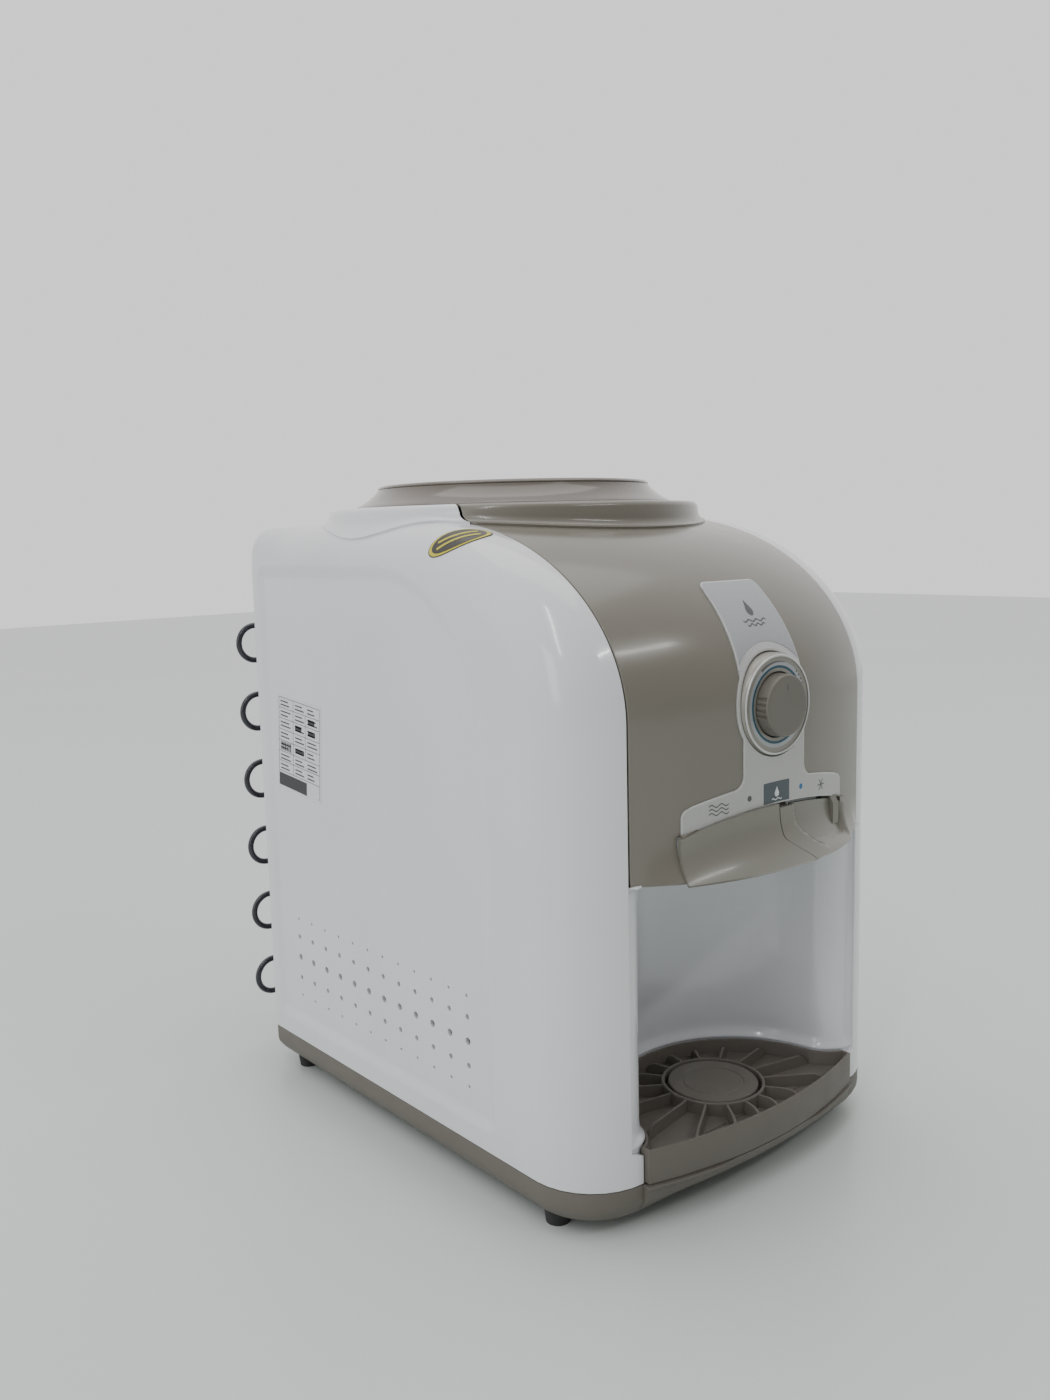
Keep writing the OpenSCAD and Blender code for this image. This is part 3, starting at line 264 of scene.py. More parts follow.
def plate(name, loops, extra, surface, thickness, roll=0.8, clear=1.5, turns=3):
    """A closed sheet of the given thickness over a curved surface, with rolled edges.
    loops are in the surface's own (u, v): the first is the outside and the others are holes.
    extra points shape the face where they are further than clear from a loop."""
    loops = [oriented(loops[0], True)] + [oriented(hole, False) for hole in loops[1:]]
    extra = np.asarray(extra, float).reshape(-1, 2)
    if len(extra):
        extra = extra[inside(extra, loops)]
        extra = extra[gap_to(extra, loops) > clear]
    flat, tris, rims = triangles(loops, extra)
    top, up = surface(flat), numeric_normal(surface, flat)
    count = len(top)
    points = [top, top - up * thickness]
    total = 2 * count
    faces = tris.tolist() + (tris[:, ::-1] + count).tolist()
    norms = [*up[tris], *-up[tris[:, ::-1]]]

    def band(first, second, first_up, second_up):
        """Quads between two closed rows of point numbers, with the normals of each row."""
        after = np.roll(np.arange(len(first)), -1)
        faces.extend(np.stack([first, second, second[after], first[after]], -1).tolist())
        norms.extend(np.stack([first_up, second_up, second_up[after], first_up[after]], 1))

    for rim in rims:
        n, p, out = len(rim), top[rim], up[rim]
        along = unit(np.roll(p, -1, 0) - p)
        ahead = unit(np.cross(along, out))
        side = unit(unit(np.cross(np.roll(along, 1, 0), out)) + ahead)
        mitre = 1 / np.maximum(np.sum(side * ahead, -1, keepdims=True), 0.5)
        row, row_normals = rim, out
        for a in math.pi / 2 * np.arange(1, turns + 1) / turns:
            points.append(p + side * mitre * roll * math.sin(a) - out * roll * (1 - math.cos(a)))
            normals = unit(out * math.cos(a) + side * math.sin(a))
            band(row, total + np.arange(n), row_normals, normals)
            row, row_normals = total + np.arange(n), normals
            total += n
        points.append(p + side * mitre * roll - out * thickness)
        band(row, total + np.arange(n), side, side)
        band(total + np.arange(n), rim + count, -out, -out)
        total += n
    return make(name, np.concatenate(points), faces, norms)


def weld(piece):
    """Joins points that coincide, and faces the mesh outwards."""
    b = bmesh.new()
    b.from_mesh(piece.data)
    bmesh.ops.remove_doubles(b, verts=b.verts, dist=1e-6)
    bmesh.ops.recalc_face_normals(b, faces=b.faces)
    b.to_mesh(piece.data)
    b.free()
    return piece


def loft(name, rings, sharp=35):
    """A closed skin through rings of the same number of points."""
    n = len(rings[0])
    last = (len(rings) - 1) * n
    quad = [(i, (i + 1) % n, n + (i + 1) % n, n + i) for i in range(n)]
    faces = [[a + i for i in corner] for a in range(0, last, n) for corner in quad]
    faces += [list(range(n))[::-1], list(range(last, last + n))]
    return weld(make(name, np.concatenate(rings), faces, sharp=sharp))


def lathe(name, profile, centre=(0, 0, 0), axis="z", n=96, sharp=32):
    """Turns a closed (radius, height) outline about an axis through centre."""
    profile = oriented(profile, True)
    a = np.radians(np.arange(n) * 360 / n)
    r, h = profile[:, :1], profile[:, 1:] + 0 * a
    place = [r * np.cos(a), r * np.sin(a), h] if axis == "z" else [r * np.cos(a), h, -r * np.sin(a)]
    points = np.stack(place, -1).reshape(-1, 3) + np.array(centre)
    on_axis = profile[:, 0] == 0
    faces = []
    for i in range(len(profile)):
        j = (i + 1) % len(profile)
        for k in range(n):
            l = (k + 1) % n
            near = [i * n + k] if on_axis[i] else [i * n + k, i * n + l]
            far = [j * n + l] if on_axis[j] else [j * n + l, j * n + k]
            if len(near + far) > 2:
                faces.append(near + far)
    return weld(make(name, points, faces, sharp=sharp))


def grid_solid(name, top, thickness, sharp=50, flip=False):
    """A closed sheet from a grid of points, thickened along its own normals."""
    rows, cols = top.shape[:2]
    up = unit(np.cross(np.gradient(top, axis=1), np.gradient(top, axis=0))) * (-1 if flip else 1)
    count = rows * cols
    faces = []
    for a in (i * cols + j for i in range(rows - 1) for j in range(cols - 1)):
        quad = [a, a + 1, a + cols + 1, a + cols]
        faces += [quad, [q + count for q in quad[::-1]]]
    rim = (list(range(cols)) + [(i + 1) * cols - 1 for i in range(1, rows)]
           + [(rows - 1) * cols + j for j in range(cols - 2, -1, -1)]
           + [i * cols for i in range(rows - 2, 0, -1)])
    faces += [[b, a, a + count, b + count] for a, b in zip(rim, rim[1:] + rim[:1])]
    if flip:
        faces = [face[::-1] for face in faces]
    points = np.stack([top, top - up * thickness]).reshape(-1, 3)
    return make(name, points, faces, sharp=sharp)


def mirrored(piece, name):
    """A copy of a mesh piece, mirrored across X, with its corner normals."""
    mesh = piece.data
    across = np.array([-1, 1, 1])
    points = np.array([v.co[:] for v in mesh.vertices]) / MM * across
    normals = np.array([c.vector[:] for c in mesh.corner_normals]) * across
    faces = [list(p.vertices)[::-1] for p in mesh.polygons]
    return make(name, points, faces, [normals[list(reversed(p.loop_indices))] for p in mesh.polygons])


# ------------------------------------------------------------------ materials


def add_node(tree, kind, settings, wires, **options):
    """A new shader node, with its options, its input values and the outputs wired to its inputs."""
    node = tree.nodes.new("ShaderNode" + kind)
    for key, value in options.items():
        setattr(node, key, value)
    for key, value in settings.items():
        node.inputs[key].default_value = value
    for key, source in wires.items():
        tree.links.new(source, node.inputs[key])
    return node


class Paint:
    """Builds one procedural material, node by node."""

    def __init__(self, name, colour, roughness, metallic=0.0, coat=0.0, coat_roughness=0.05, specular=0.5):
        self.material = bpy.data.materials.new(name)
        self.material.use_nodes = True
        self.tree = self.material.node_tree
        self.inputs = self.tree.nodes["Principled BSDF"].inputs
        self.colour = colour
        for key, value in (("Base Color", (*colour, 1)), ("Roughness", roughness), ("Metallic", metallic),
                           ("Coat Weight", coat), ("Coat Roughness", coat_roughness),
                           ("Specular IOR Level", specular)):
            self.inputs[key].default_value = value
        self.place = self.tree.nodes.new("ShaderNodeTexCoord").outputs["Object"]

    def noise(self, scale, detail=3.0, stretch=None):
        place = self.place
        if stretch:
            place = add_node(self.tree, "Mapping", {"Scale": stretch}, {"Vector": place}).outputs["Vector"]
        settings = {"Scale": scale, "Detail": detail, "Roughness": 0.5}
        return add_node(self.tree, "TexNoise", settings, {"Vector": place}).outputs["Fac"]

    def remap(self, value, low, high, new_low, new_high):
        settings = {"From Min": low, "From Max": high, "To Min": new_low, "To Max": new_high}
        return add_node(self.tree, "MapRange", settings, {"Value": value}).outputs["Result"]

    def vary_colour(self, value, low, high, spread_low=0.35, spread_high=0.65):
        ends = {"A": (*[c * low for c in self.colour], 1), "B": (*[min(c * high, 1) for c in self.colour], 1)}
        factor = self.remap(value, spread_low, spread_high, 0, 1)
        mix = add_node(self.tree, "Mix", ends, {"Factor": factor}, data_type="RGBA")
        self.tree.links.new(mix.outputs["Result"], self.inputs["Base Color"])

    def vary_roughness(self, value, low, high):
        self.tree.links.new(self.remap(value, 0.3, 0.7, low, high), self.inputs["Roughness"])

    def bump(self, value, depth, strength=0.5):
        relief = add_node(self.tree, "Bump", {"Strength": strength, "Distance": depth}, {"Height": value})
        for key in ("Normal", "Coat Normal"):
            self.tree.links.new(relief.outputs["Normal"], self.inputs[key])


def moulded(name, colour, roughness, grain=0.00004, grain_scale=900, **rest):
    """Moulded plastic: faint flow marks, fine grain and a slight unevenness of gloss."""
    p = Paint(name, colour, roughness, **rest)
    p.vary_colour(p.noise(9, 2), 0.975, 1.02)
    p.vary_roughness(p.noise(60, 2), roughness * 0.92, roughness * 1.1)
    if grain:
        p.bump(p.noise(grain_scale, 2), grain, 0.4)
    return p.material


WHITE = moulded("white_gloss", (0.79, 0.80, 0.825), 0.16, grain=0, coat=0.35, coat_roughness=0.04)
WHITE_IN = moulded("white_plain", (0.74, 0.76, 0.78), 0.38)
TAUPE = moulded("taupe_gloss", (0.195, 0.182, 0.15), 0.24, grain=0, coat=0.3, coat_roughness=0.12)
TAUPE_MATTE = moulded("taupe_matte", (0.15, 0.135, 0.115), 0.5, grain=0.0001, grain_scale=1400)
TAUPE_RING = moulded("taupe_ring", (0.125, 0.104, 0.082), 0.18, grain=0, coat=0.4, coat_roughness=0.06)
LEVER = moulded("lever_gloss", (0.22, 0.212, 0.178), 0.3, grain=0, coat=0.3, coat_roughness=0.14)
KNOB = moulded("knob_satin", (0.16, 0.148, 0.126), 0.42, grain=0.00006, grain_scale=1600)
CLEAR = moulded("milky_plastic", (0.66, 0.69, 0.70), 0.3)
BLACK_PLASTIC = moulded("black_plastic", (0.02, 0.02, 0.024), 0.45)


def metallic(name, colour, roughness, stretch=(1, 1, 1), amount=0.9, scale=1200):
    p = Paint(name, colour, roughness, metallic=amount, coat=0.25, coat_roughness=0.15)
    p.vary_colour(p.noise(2600, 1), 0.93, 1.06)
    p.vary_roughness(p.noise(scale, 3, stretch=stretch), roughness * 0.8, roughness * 1.25)
    p.bump(p.noise(scale, 2, stretch=stretch), 0.00002, 0.35)
    return p.material


SILVER = metallic("silver_warm", (0.50, 0.50, 0.48), 0.42, amount=0.35)
SILVER_BLUE = metallic("silver_cool", (0.42, 0.44, 0.455), 0.40, amount=0.4)
SILVER_EDGE = metallic("silver_edge", (0.62, 0.63, 0.62), 0.32, amount=0.35)
SILVER_TAUPE = metallic("silver_taupe", (0.30, 0.285, 0.255), 0.36, amount=0.4)
STEEL = metallic("zinc_steel", (0.50, 0.51, 0.52), 0.38, stretch=(1, 1, 18), amount=1.0, scale=300)
BRUSHED = metallic("stainless", (0.56, 0.56, 0.56), 0.26, stretch=(1, 1, 40), amount=1.0, scale=200)
COPPER = metallic("drawn_copper", (0.72, 0.36, 0.22), 0.3, stretch=(6, 6, 1), amount=1.0, scale=160)


def enamel():
    p = Paint("black_enamel", (0.012, 0.012, 0.022), 0.2, coat=0.6, coat_roughness=0.08)
    p.vary_roughness(p.noise(240, 3), 0.14, 0.3)
    p.bump(p.noise(420, 2), 0.00006, 0.4)
    return p.material


def rubber():
    p = Paint("black_rubber", (0.022, 0.022, 0.022), 0.72)
    p.vary_colour(p.noise(60, 3), 0.8, 1.5)
    p.bump(p.noise(1500, 3), 0.0001, 0.6)
    return p.material


def foam():
    p = Paint("expanded_foam", (0.80, 0.78, 0.68), 0.85)
    cells = add_node(p.tree, "TexVoronoi", {"Scale": 260}, {"Vector": p.place}).outputs["Distance"]
    p.vary_colour(cells, 1.05, 0.85, 0.0, 0.7)
    p.bump(cells, 0.0008, 0.7)
    return p.material


def printed(name, colour, roughness=0.4):
    p = Paint(name, colour, roughness)
    p.vary_colour(p.noise(700, 2), 0.94, 1.06)
    p.bump(p.noise(1800, 2), 0.00002, 0.3)
    return p.material


ENAMEL = enamel()
RUBBER = rubber()
FOAM = foam()
SLATE = printed("slate_print", (0.075, 0.095, 0.11))
INK = printed("grey_ink", (0.10, 0.10, 0.10))
BLUE_INK = printed("blue_ink", (0.02, 0.15, 0.34))
DIAL_BLUE = printed("dial_blue", (0.018, 0.085, 0.13), 0.25)
PALE_INK = printed("pale_ink", (0.72, 0.74, 0.75), 0.35)
PAPER = printed("label_paper", (0.76, 0.77, 0.79), 0.45)
PAPER_INK = printed("label_ink", (0.035, 0.035, 0.04), 0.5)
YELLOW = printed("sticker_yellow", (0.62, 0.55, 0.04), 0.35)
STICKER_DARK = printed("sticker_dark", (0.045, 0.043, 0.035), 0.3)

# ------------------------------------------------------------------ the body's side view as a curve


FRONT_STEPS, CROWN_STEPS, DECK_STEPS, REAR_STEPS, BACK_STEPS = 59, 199, 59, 96, 60
CROWN_FIRST = FRONT_STEPS
DECK_FIRST = CROWN_FIRST + CROWN_STEPS
REAR_FIRST = DECK_FIRST + DECK_STEPS
CROWN = slice(CROWN_FIRST, DECK_FIRST + 1)


def profile_points():
    """The side view's outline as points (y, z), from the front foot over the crown and down the back."""
    foot, rear_z = BASE_Z + 0.3, DECK_Z - REAR_R
    front = np.stack([np.full(FRONT_STEPS + 1, FRONT_Y), np.linspace(foot, CROWN_Z, FRONT_STEPS + 1)], -1)
    t = np.linspace(0, math.pi / 2, CROWN_STEPS + 1)[1:]
    crown = np.stack([CROWN_Y - CROWN_D * np.cos(t), CROWN_Z + CROWN_H * np.sin(t)], -1)
    deck_y = np.linspace(CROWN_Y, BACK_Y - REAR_R, DECK_STEPS + 1)[1:]
    deck = np.stack([deck_y, np.full(DECK_STEPS, DECK_Z)], -1)
    rear = arc(BACK_Y - REAR_R, rear_z, REAR_R, 90, 0, REAR_STEPS)[1:]
    back = np.stack([np.full(BACK_STEPS, BACK_Y), np.linspace(rear_z, foot, BACK_STEPS + 1)[1:]], -1)
    return np.concatenate([front, crown, deck, rear, back])


def lengths_along(points):
    return np.concatenate([[0], np.cumsum(np.linalg.norm(np.diff(points, axis=0), axis=1))])


PROFILE = profile_points()
LENGTH = lengths_along(PROFILE)
S_CROWN, S_DECK, S_REAR, S_BACK, S_END = (
    float(LENGTH[i]) for i in (CROWN_FIRST, DECK_FIRST, REAR_FIRST, REAR_FIRST + REAR_STEPS, -1))


def at_length(s):
    return np.stack([np.interp(s, LENGTH, PROFILE[:, 0]), np.interp(s, LENGTH, PROFILE[:, 1])], -1)


def out_at(s):
    """The outward normal of the side view's outline."""
    d = at_length(np.clip(s + 0.5, 0, S_END)) - at_length(np.clip(s - 0.5, 0, S_END))
    return unit(np.stack([-d[..., 1], d[..., 0]], -1))


def fillet(s):
    """Radius of the rounding between the side and the outline, at length s."""
    return np.interp(s, [0, S_CROWN, S_DECK, S_REAR - 30, S_REAR + 8, S_BACK + 12, S_END],
                     [CORNER_R, CORNER_R, EDGE_R, EDGE_R, 13, BACK_FILLET, BACK_FILLET])


def s_at_z(z):
    """Length along the front and crown at height z."""
    return np.interp(z, PROFILE[:CROWN.stop, 1], LENGTH[:CROWN.stop])


def s_at_y(y):
    """Length along the crown at depth y."""
    return np.interp(y, PROFILE[CROWN, 0], LENGTH[CROWN])


# ------------------------------------------------------------------ side panels

INSET_FRONT, INSET_BACK = FRONT_Y + 87, BACK_Y - 11
INSET_LOW, INSET_HIGH = 45.0, 421.0
INSET_CROWN_R, INSET_R = 118.0, 12.0
INSET_DEPTH, INSET_RAMP = 2.0, 11.0


def inset_outline(d=0.0):
    """Outline of the shallow panel on the side, in (y, z), drawn in by d."""
    return np.concatenate([
        arc(INSET_BACK - INSET_R, INSET_LOW + INSET_R, INSET_R - d, 0, -90, 8),
        arc(INSET_FRONT + INSET_R, INSET_LOW + INSET_R, INSET_R - d, -90, -180, 8),
        arc(INSET_FRONT + INSET_CROWN_R, INSET_HIGH - INSET_CROWN_R, INSET_CROWN_R - d, 180, 90, 30),
        arc(INSET_BACK - INSET_R, INSET_HIGH - INSET_R, INSET_R - d, 90, 0, 8)])


INSET_LOOP = densify(inset_outline(), 6)
NEAR = densify(PROFILE, 1.0, closed=False)
NEAR_S = lengths_along(NEAR)


def nearest_on_profile(q):
    """(length, depth inside) of the outline's point nearest to each q."""
    s = np.zeros(len(q))
    for i in range(0, len(q), 2000):
        d = np.linalg.norm(q[i:i + 2000, None] - NEAR[None], axis=-1)
        s[i:i + 2000] = NEAR_S[d.argmin(1)] * S_END / NEAR_S[-1]
    for _ in range(2):
        p = at_length(s)
        n = out_at(s)
        tangent = np.stack([n[:, 1], -n[:, 0]], -1)
        bend = np.linalg.norm(out_at(np.minimum(s + 1, S_END)) - out_at(np.maximum(s - 1, 0)), axis=-1) / 2
        outside = np.maximum(np.sum((q - p) * n, -1), 0)
        s = np.clip(s + np.sum((q - p) * tangent, -1) / (1 + outside * bend), 0, S_END)
    p, n = at_length(s), out_at(s)
    return s, -np.sum((q - p) * n, -1)


def side_surface(q):
    """The left side panel: (y, z), unrolled past the outline, to a point of the outer face."""
    s, depth = nearest_on_profile(q)
    r = fillet(s)
    turn = np.clip(depth / r, 0, 1) * math.pi / 2
    reach = np.where(depth < 0, depth, 0)
    x = HALF_W - r + r * np.sin(turn) + reach
    down = r * (1 - np.cos(turn))
    yz = np.where((depth >= r)[:, None], q, at_length(s) - out_at(s) * down[:, None])
    sunk = np.zeros(len(q))
    deep = depth > 5
    if deep.any():
        within = np.where(inside(q[deep], [INSET_LOOP]), gap_to(q[deep], [INSET_LOOP]), 0)
        sunk[deep] = INSET_DEPTH * smooth(within / INSET_RAMP)
    return np.stack([-(x - sunk), yz[:, 0], yz[:, 1]], -1)


def seam_depth(s, x):
    """Depth at which the side panel reaches the plane at x from the middle."""
    r = fillet(s)
    c = HALF_W - r
    return np.where(x >= c, r * np.arcsin(np.clip((x - c) / r, 0, 1)) / (math.pi / 2), x - c)


def unrolled(s, depth):
    return at_length(s) - out_at(s) * np.asarray(depth)[:, None]


PANEL_WALL = 2.8
CHEEK_Z = TRAY_Z - 3.0
BACK_FLANGE, MIDDLE_GAP = 16.0, 0.4


def side_outline():
    """The left panel's edge in the unrolled side view."""
    def at_side(s, x):
        return unrolled(s, seam_depth(s, np.broadcast_to(x, s.shape)))

    low = BASE_Z + 0.6
    s_front = np.linspace(low - BASE_Z, S_DECK, 150)
    s_front = s_front[at_length(s_front)[:, 0] < AXIS_Y - math.sqrt(SKIRT_R ** 2 - PANEL_X ** 2)]
    front = at_side(s_front, np.where(at_length(s_front)[:, 1] < CHEEK_Z, TRAY_W + 1.2, PANEL_X))
    angle = np.linspace(-math.acos(PANEL_X / SKIRT_R), math.radians(89.8), 50)
    x, s = SKIRT_R * np.cos(angle), S_DECK + AXIS_Y + SKIRT_R * np.sin(angle) - CROWN_Y
    around = at_side(s[s > S_DECK], x[s > S_DECK])
    middle = at_side(np.linspace(s[-1] + 0.4, S_BACK + 18, 70), MIDDLE_GAP)
    inner = at_side(np.linspace(S_BACK + 18.5, S_END - 16, 20), HALF_W - BACK_FLANGE)
    foot = at_side(np.array([S_END - 15.5, S_END - 0.4]), MIDDLE_GAP)
    return np.concatenate([front, around, middle, inner, foot, [[BACK_Y, low]]])


VENT_COLS, VENT_PITCH, VENT_Y, VENT_Z = 12, 20.48, 144.9, 102.6
VENT_ROWS = ((-32.3, 1.3), (-17.27, 2.1), (0, 2.75), (17.27, 2.1), (32.3, 1.3))


def backed(points):
    """Outline points with their first coordinate reversed, to go with seen_from_left."""
    return np.asarray(points, float) * [-1, 1]


def seen_from_left(surface):
    """A surface whose first coordinate is reversed, so that its normal points out of the left side."""
    return lambda q: surface(q * [-1, 1])


def build_side_panels():
    spots = [(VENT_Y - c * VENT_PITCH, VENT_Z + z, r) for c in range(VENT_COLS) for z, r in VENT_ROWS]
    vents = [ring(y, z, r + 0.35, 18) for y, z, r in spots]
    around_vents = [ring(y, z, r + 3, 10) for y, z, r in spots]
    rows = []
    for s in np.concatenate([np.arange(2, S_REAR - 3, 5.5), np.arange(S_REAR - 2, S_BACK + 4, 2.2),
                             np.arange(S_BACK + 7, S_END, 5.5)]):
        r = float(fillet(s))
        depths = np.concatenate([np.linspace(0, r, 13), [-4, -12, -24, -45, -70, -95, -120, -142, r + 4]])
        rows.append(unrolled(np.full(len(depths), s), depths))
    steps = [densify(inset_outline(d), 7) for d in (-3, 0.01, 1.5, 3, 5, 7, 9, 11, 14)]
    field = spread((INSET_FRONT + 20, 165), (INSET_BACK - 18, 400), 34)
    outline = densify(side_outline(), 6)
    extra = np.concatenate(rows + steps + around_vents + [field])
    return plate("side_panel_left_shell", [backed(loop) for loop in [outline] + vents], backed(extra),
                 seen_from_left(side_surface), PANEL_WALL, roll=0.5, clear=0.9)


def deck_height(x, y):
    """Height of the deck, crown and shoulders under the collar."""
    x = np.abs(x)
    revolved = np.sqrt(x ** 2 + (BULGE_Y - y) ** 2)
    edge_y = BULGE_Y - np.sqrt(np.maximum(revolved ** 2 - COVER_X ** 2, 0))
    y_use = np.where(x <= COVER_X, edge_y, y)
    t = np.clip((CROWN_Y - y_use) / CROWN_D, 0, 1)
    z = CROWN_Z + CROWN_H * np.sqrt(1 - t ** 2)
    over = np.clip(x - (HALF_W - EDGE_R), 0, EDGE_R)
    return z - (EDGE_R - np.sqrt(EDGE_R ** 2 - over ** 2))


def collar(name, low_angle, high_angle, foot=6.5):
    """A stretch of the raised collar, between two angles that may depend on the radius."""
    lip = [(COLLAR_HOLE, COLLAR_Z - 4), (COLLAR_HOLE, COLLAR_Z - 0.8), (COLLAR_HOLE + 0.25, COLLAR_Z - 0.25),
           (COLLAR_HOLE + 0.8, COLLAR_Z), *arc(COLLAR_R - 0.6 - 3, COLLAR_Z - 3, 3, 90, 8, 8)]
    turn = np.linspace(0, 1, 64)

    def around(r):
        a = low_angle(r) + (high_angle(r) - low_angle(r)) * turn
        return r * np.sin(a), AXIS_Y - r * np.cos(a)

    columns = [np.stack([*around(r), np.full(len(turn), z)], -1) for r, z in lip]
    for k in np.linspace(0, math.pi / 2, 11):
        x, y = around(COLLAR_R + foot * (1 - np.cos(k)))
        ground = deck_height(x, y)
        rise = np.minimum(foot, COLLAR_Z - 3.2 - ground) * (1 - np.sin(k))
        columns.append(np.stack([x, y, ground + rise - 0.06], -1))
    return grid_solid(name, np.stack(columns, 1), 1.6, sharp=60, flip=True)


def white_low(r):
    return math.pi + math.asin(0.3 / r)


def white_high(r):
    return 2 * math.pi - math.asin(min(1, PANEL_X / r))


def taupe_edge(r):
    return math.asin(min(1, (COVER_X - 0.3) / r))


def build_sides():
    panel = build_side_panels()
    rim = collar("side_collar_left", white_low, white_high)
    for piece, nodes in ((mirrored(panel, "side_panel_right_shell"), ["side_panel_right"]),
                         (panel, ["side_panel_left"]), (rim, []), (mirrored(rim, "side_collar_right"), [])):
        finish_piece(piece, "cabinet", "white_gloss", WHITE, *nodes)


build_sides()

# ------------------------------------------------------------------ front cover


def flare(x, z):
    """How far the cover's lower edge stands forward, so that it runs into the levers' lip."""
    x = np.abs(x)
    lip = LIP_Y + LIP_R - np.sqrt(np.maximum(LIP_R ** 2 - x ** 2, 1))
    plain = BULGE_Y - np.sqrt(BULGE_R ** 2 - x ** 2)
    drop = np.clip((LABEL_Z + 2 - z) / (LABEL_Z + 2 - LIP_Z), 0, 1)
    return np.maximum(plain - lip, 0) * drop ** 2.2 * np.clip((COVER_X - x) / 12, 0, 1) ** 0.5


def cover_surface(q):
    """(x, length along the side view) to a point of the cover's outer face."""
    x, s = q[:, 0], q[:, 1]
    p = at_length(s)
    revolved = np.sqrt(COVER_X ** 2 + (BULGE_Y - p[:, 0]) ** 2)
    y = BULGE_Y - np.sqrt(revolved ** 2 - x ** 2)
    return np.stack([x, y - flare(x, p[:, 1]), p[:, 1]], -1)


def on_cover(x, z):
    """The cover's (x, length) for points at (x, z) in the front view."""
    return np.stack([np.asarray(x, float), s_at_z(np.asarray(z, float))], -1)


def label_arc(x, out):
    """Height of the label's arc at x, out beyond its lower edge."""
    return LABEL_CZ + np.sqrt((LABEL_R + out) ** 2 - np.asarray(x, float) ** 2)


def window_arch():
    """The top edge of the levers' window, as (x, z)."""
    x = np.linspace(-WINDOW_X, WINDOW_X, 41)
    return np.stack([x, label_arc(x, 1)], -1)


def cover_outline():
    half, foot = COVER_X - 0.8, np.full(2, COVER_Z + 0.5)
    low, high = on_cover([-half, -WINDOW_X], foot), on_cover([WINDOW_X, half], foot)
    angle = np.linspace(math.asin(half / SKIRT_R), -math.asin(half / SKIRT_R), 40)
    x, y = SKIRT_R * np.sin(angle), AXIS_Y - SKIRT_R * np.cos(angle)
    revolved = np.sqrt(x ** 2 + (BULGE_Y - y) ** 2)
    edge_y = BULGE_Y - np.sqrt(revolved ** 2 - COVER_X ** 2)
    s = np.where(edge_y < CROWN_Y, s_at_y(np.minimum(edge_y, CROWN_Y)), S_DECK + edge_y - CROWN_Y)
    return densify(np.concatenate([low, on_cover(*window_arch().T), high, np.stack([x, s], -1)]), 4)


def build_cover():
    outline = cover_outline()
    dial = on_cover(*ring(0, DIAL_Z, BEZEL_R - 1.5, 72).T)
    low, high = outline.min(0), outline.max(0)
    extra = np.concatenate([spread(low, high, 7), spread(low, (high[0], low[1] + 34), 3)])
    shell = plate("front_cover_shell", [outline, dial], extra, cover_surface, PANEL_WALL, roll=0.6,
                  clear=1.4)
    finish_piece(shell, "cabinet", "taupe_gloss", TAUPE, "front_cover")
    rim = collar("front_collar", lambda r: -taupe_edge(r), taupe_edge)
    finish_piece(rim, "cabinet", "taupe_gloss", TAUPE)


build_cover()

# ------------------------------------------------------------------ CAD nodes that stay in view

SLOTS = {"white_gloss": WHITE, "taupe_gloss": TAUPE, "taupe_matte": TAUPE_MATTE, "silver_trim": SILVER,
         "slate_print": SLATE, "blue_print": DIAL_BLUE, "steel": STEEL, "white_plastic": WHITE_IN,
         "clear_plastic": CLEAR, "black_rubber": RUBBER, "foam": FOAM, "copper": COPPER,
         "black_paint": ENAMEL, "black_plastic": BLACK_PLASTIC, "label_white": PAPER,
         "label_dark": STICKER_DARK}


def paint_nodes():
    for part in frame["record"]["subparts"]:
        node = frame["nodes"][part["node"]]
        material = BRUSHED if part["node"] == "reservoir" else SLOTS[part["material_slot"]]
        node.data.materials.clear()
        node.data.materials.append(material)


paint_nodes()

# ------------------------------------------------------------------ labels


def lifted(surface, lift):
    """The surface moved outwards by lift."""
    return lambda q: surface(q) + numeric_normal(surface, q) * lift


def flat_marks(name, shapes, surface, lift, thickness=0.06):
    """Printed marks: each outline becomes a very thin sheet, lift above a surface."""
    return join(name, [plate("%s_%d" % (name, i), [densify(shape, 3)], [], lifted(surface, lift), thickness,
                             roll=0.01, turns=1) for i, shape in enumerate(shapes)])


def rect(x0, y0, x1, y1):
    return np.array([(x0, y0), (x1, y0), (x1, y1), (x0, y1)], float)


def rotated(shape, angle, centre):
    a = math.radians(angle)
    return shape @ np.array([[math.cos(a), math.sin(a)], [-math.sin(a), math.cos(a)]]) + centre


LABEL_CENTRE, LABEL_TURN, LABEL_GAP = np.array([129.5, 278.0]), 5.0, 0.22


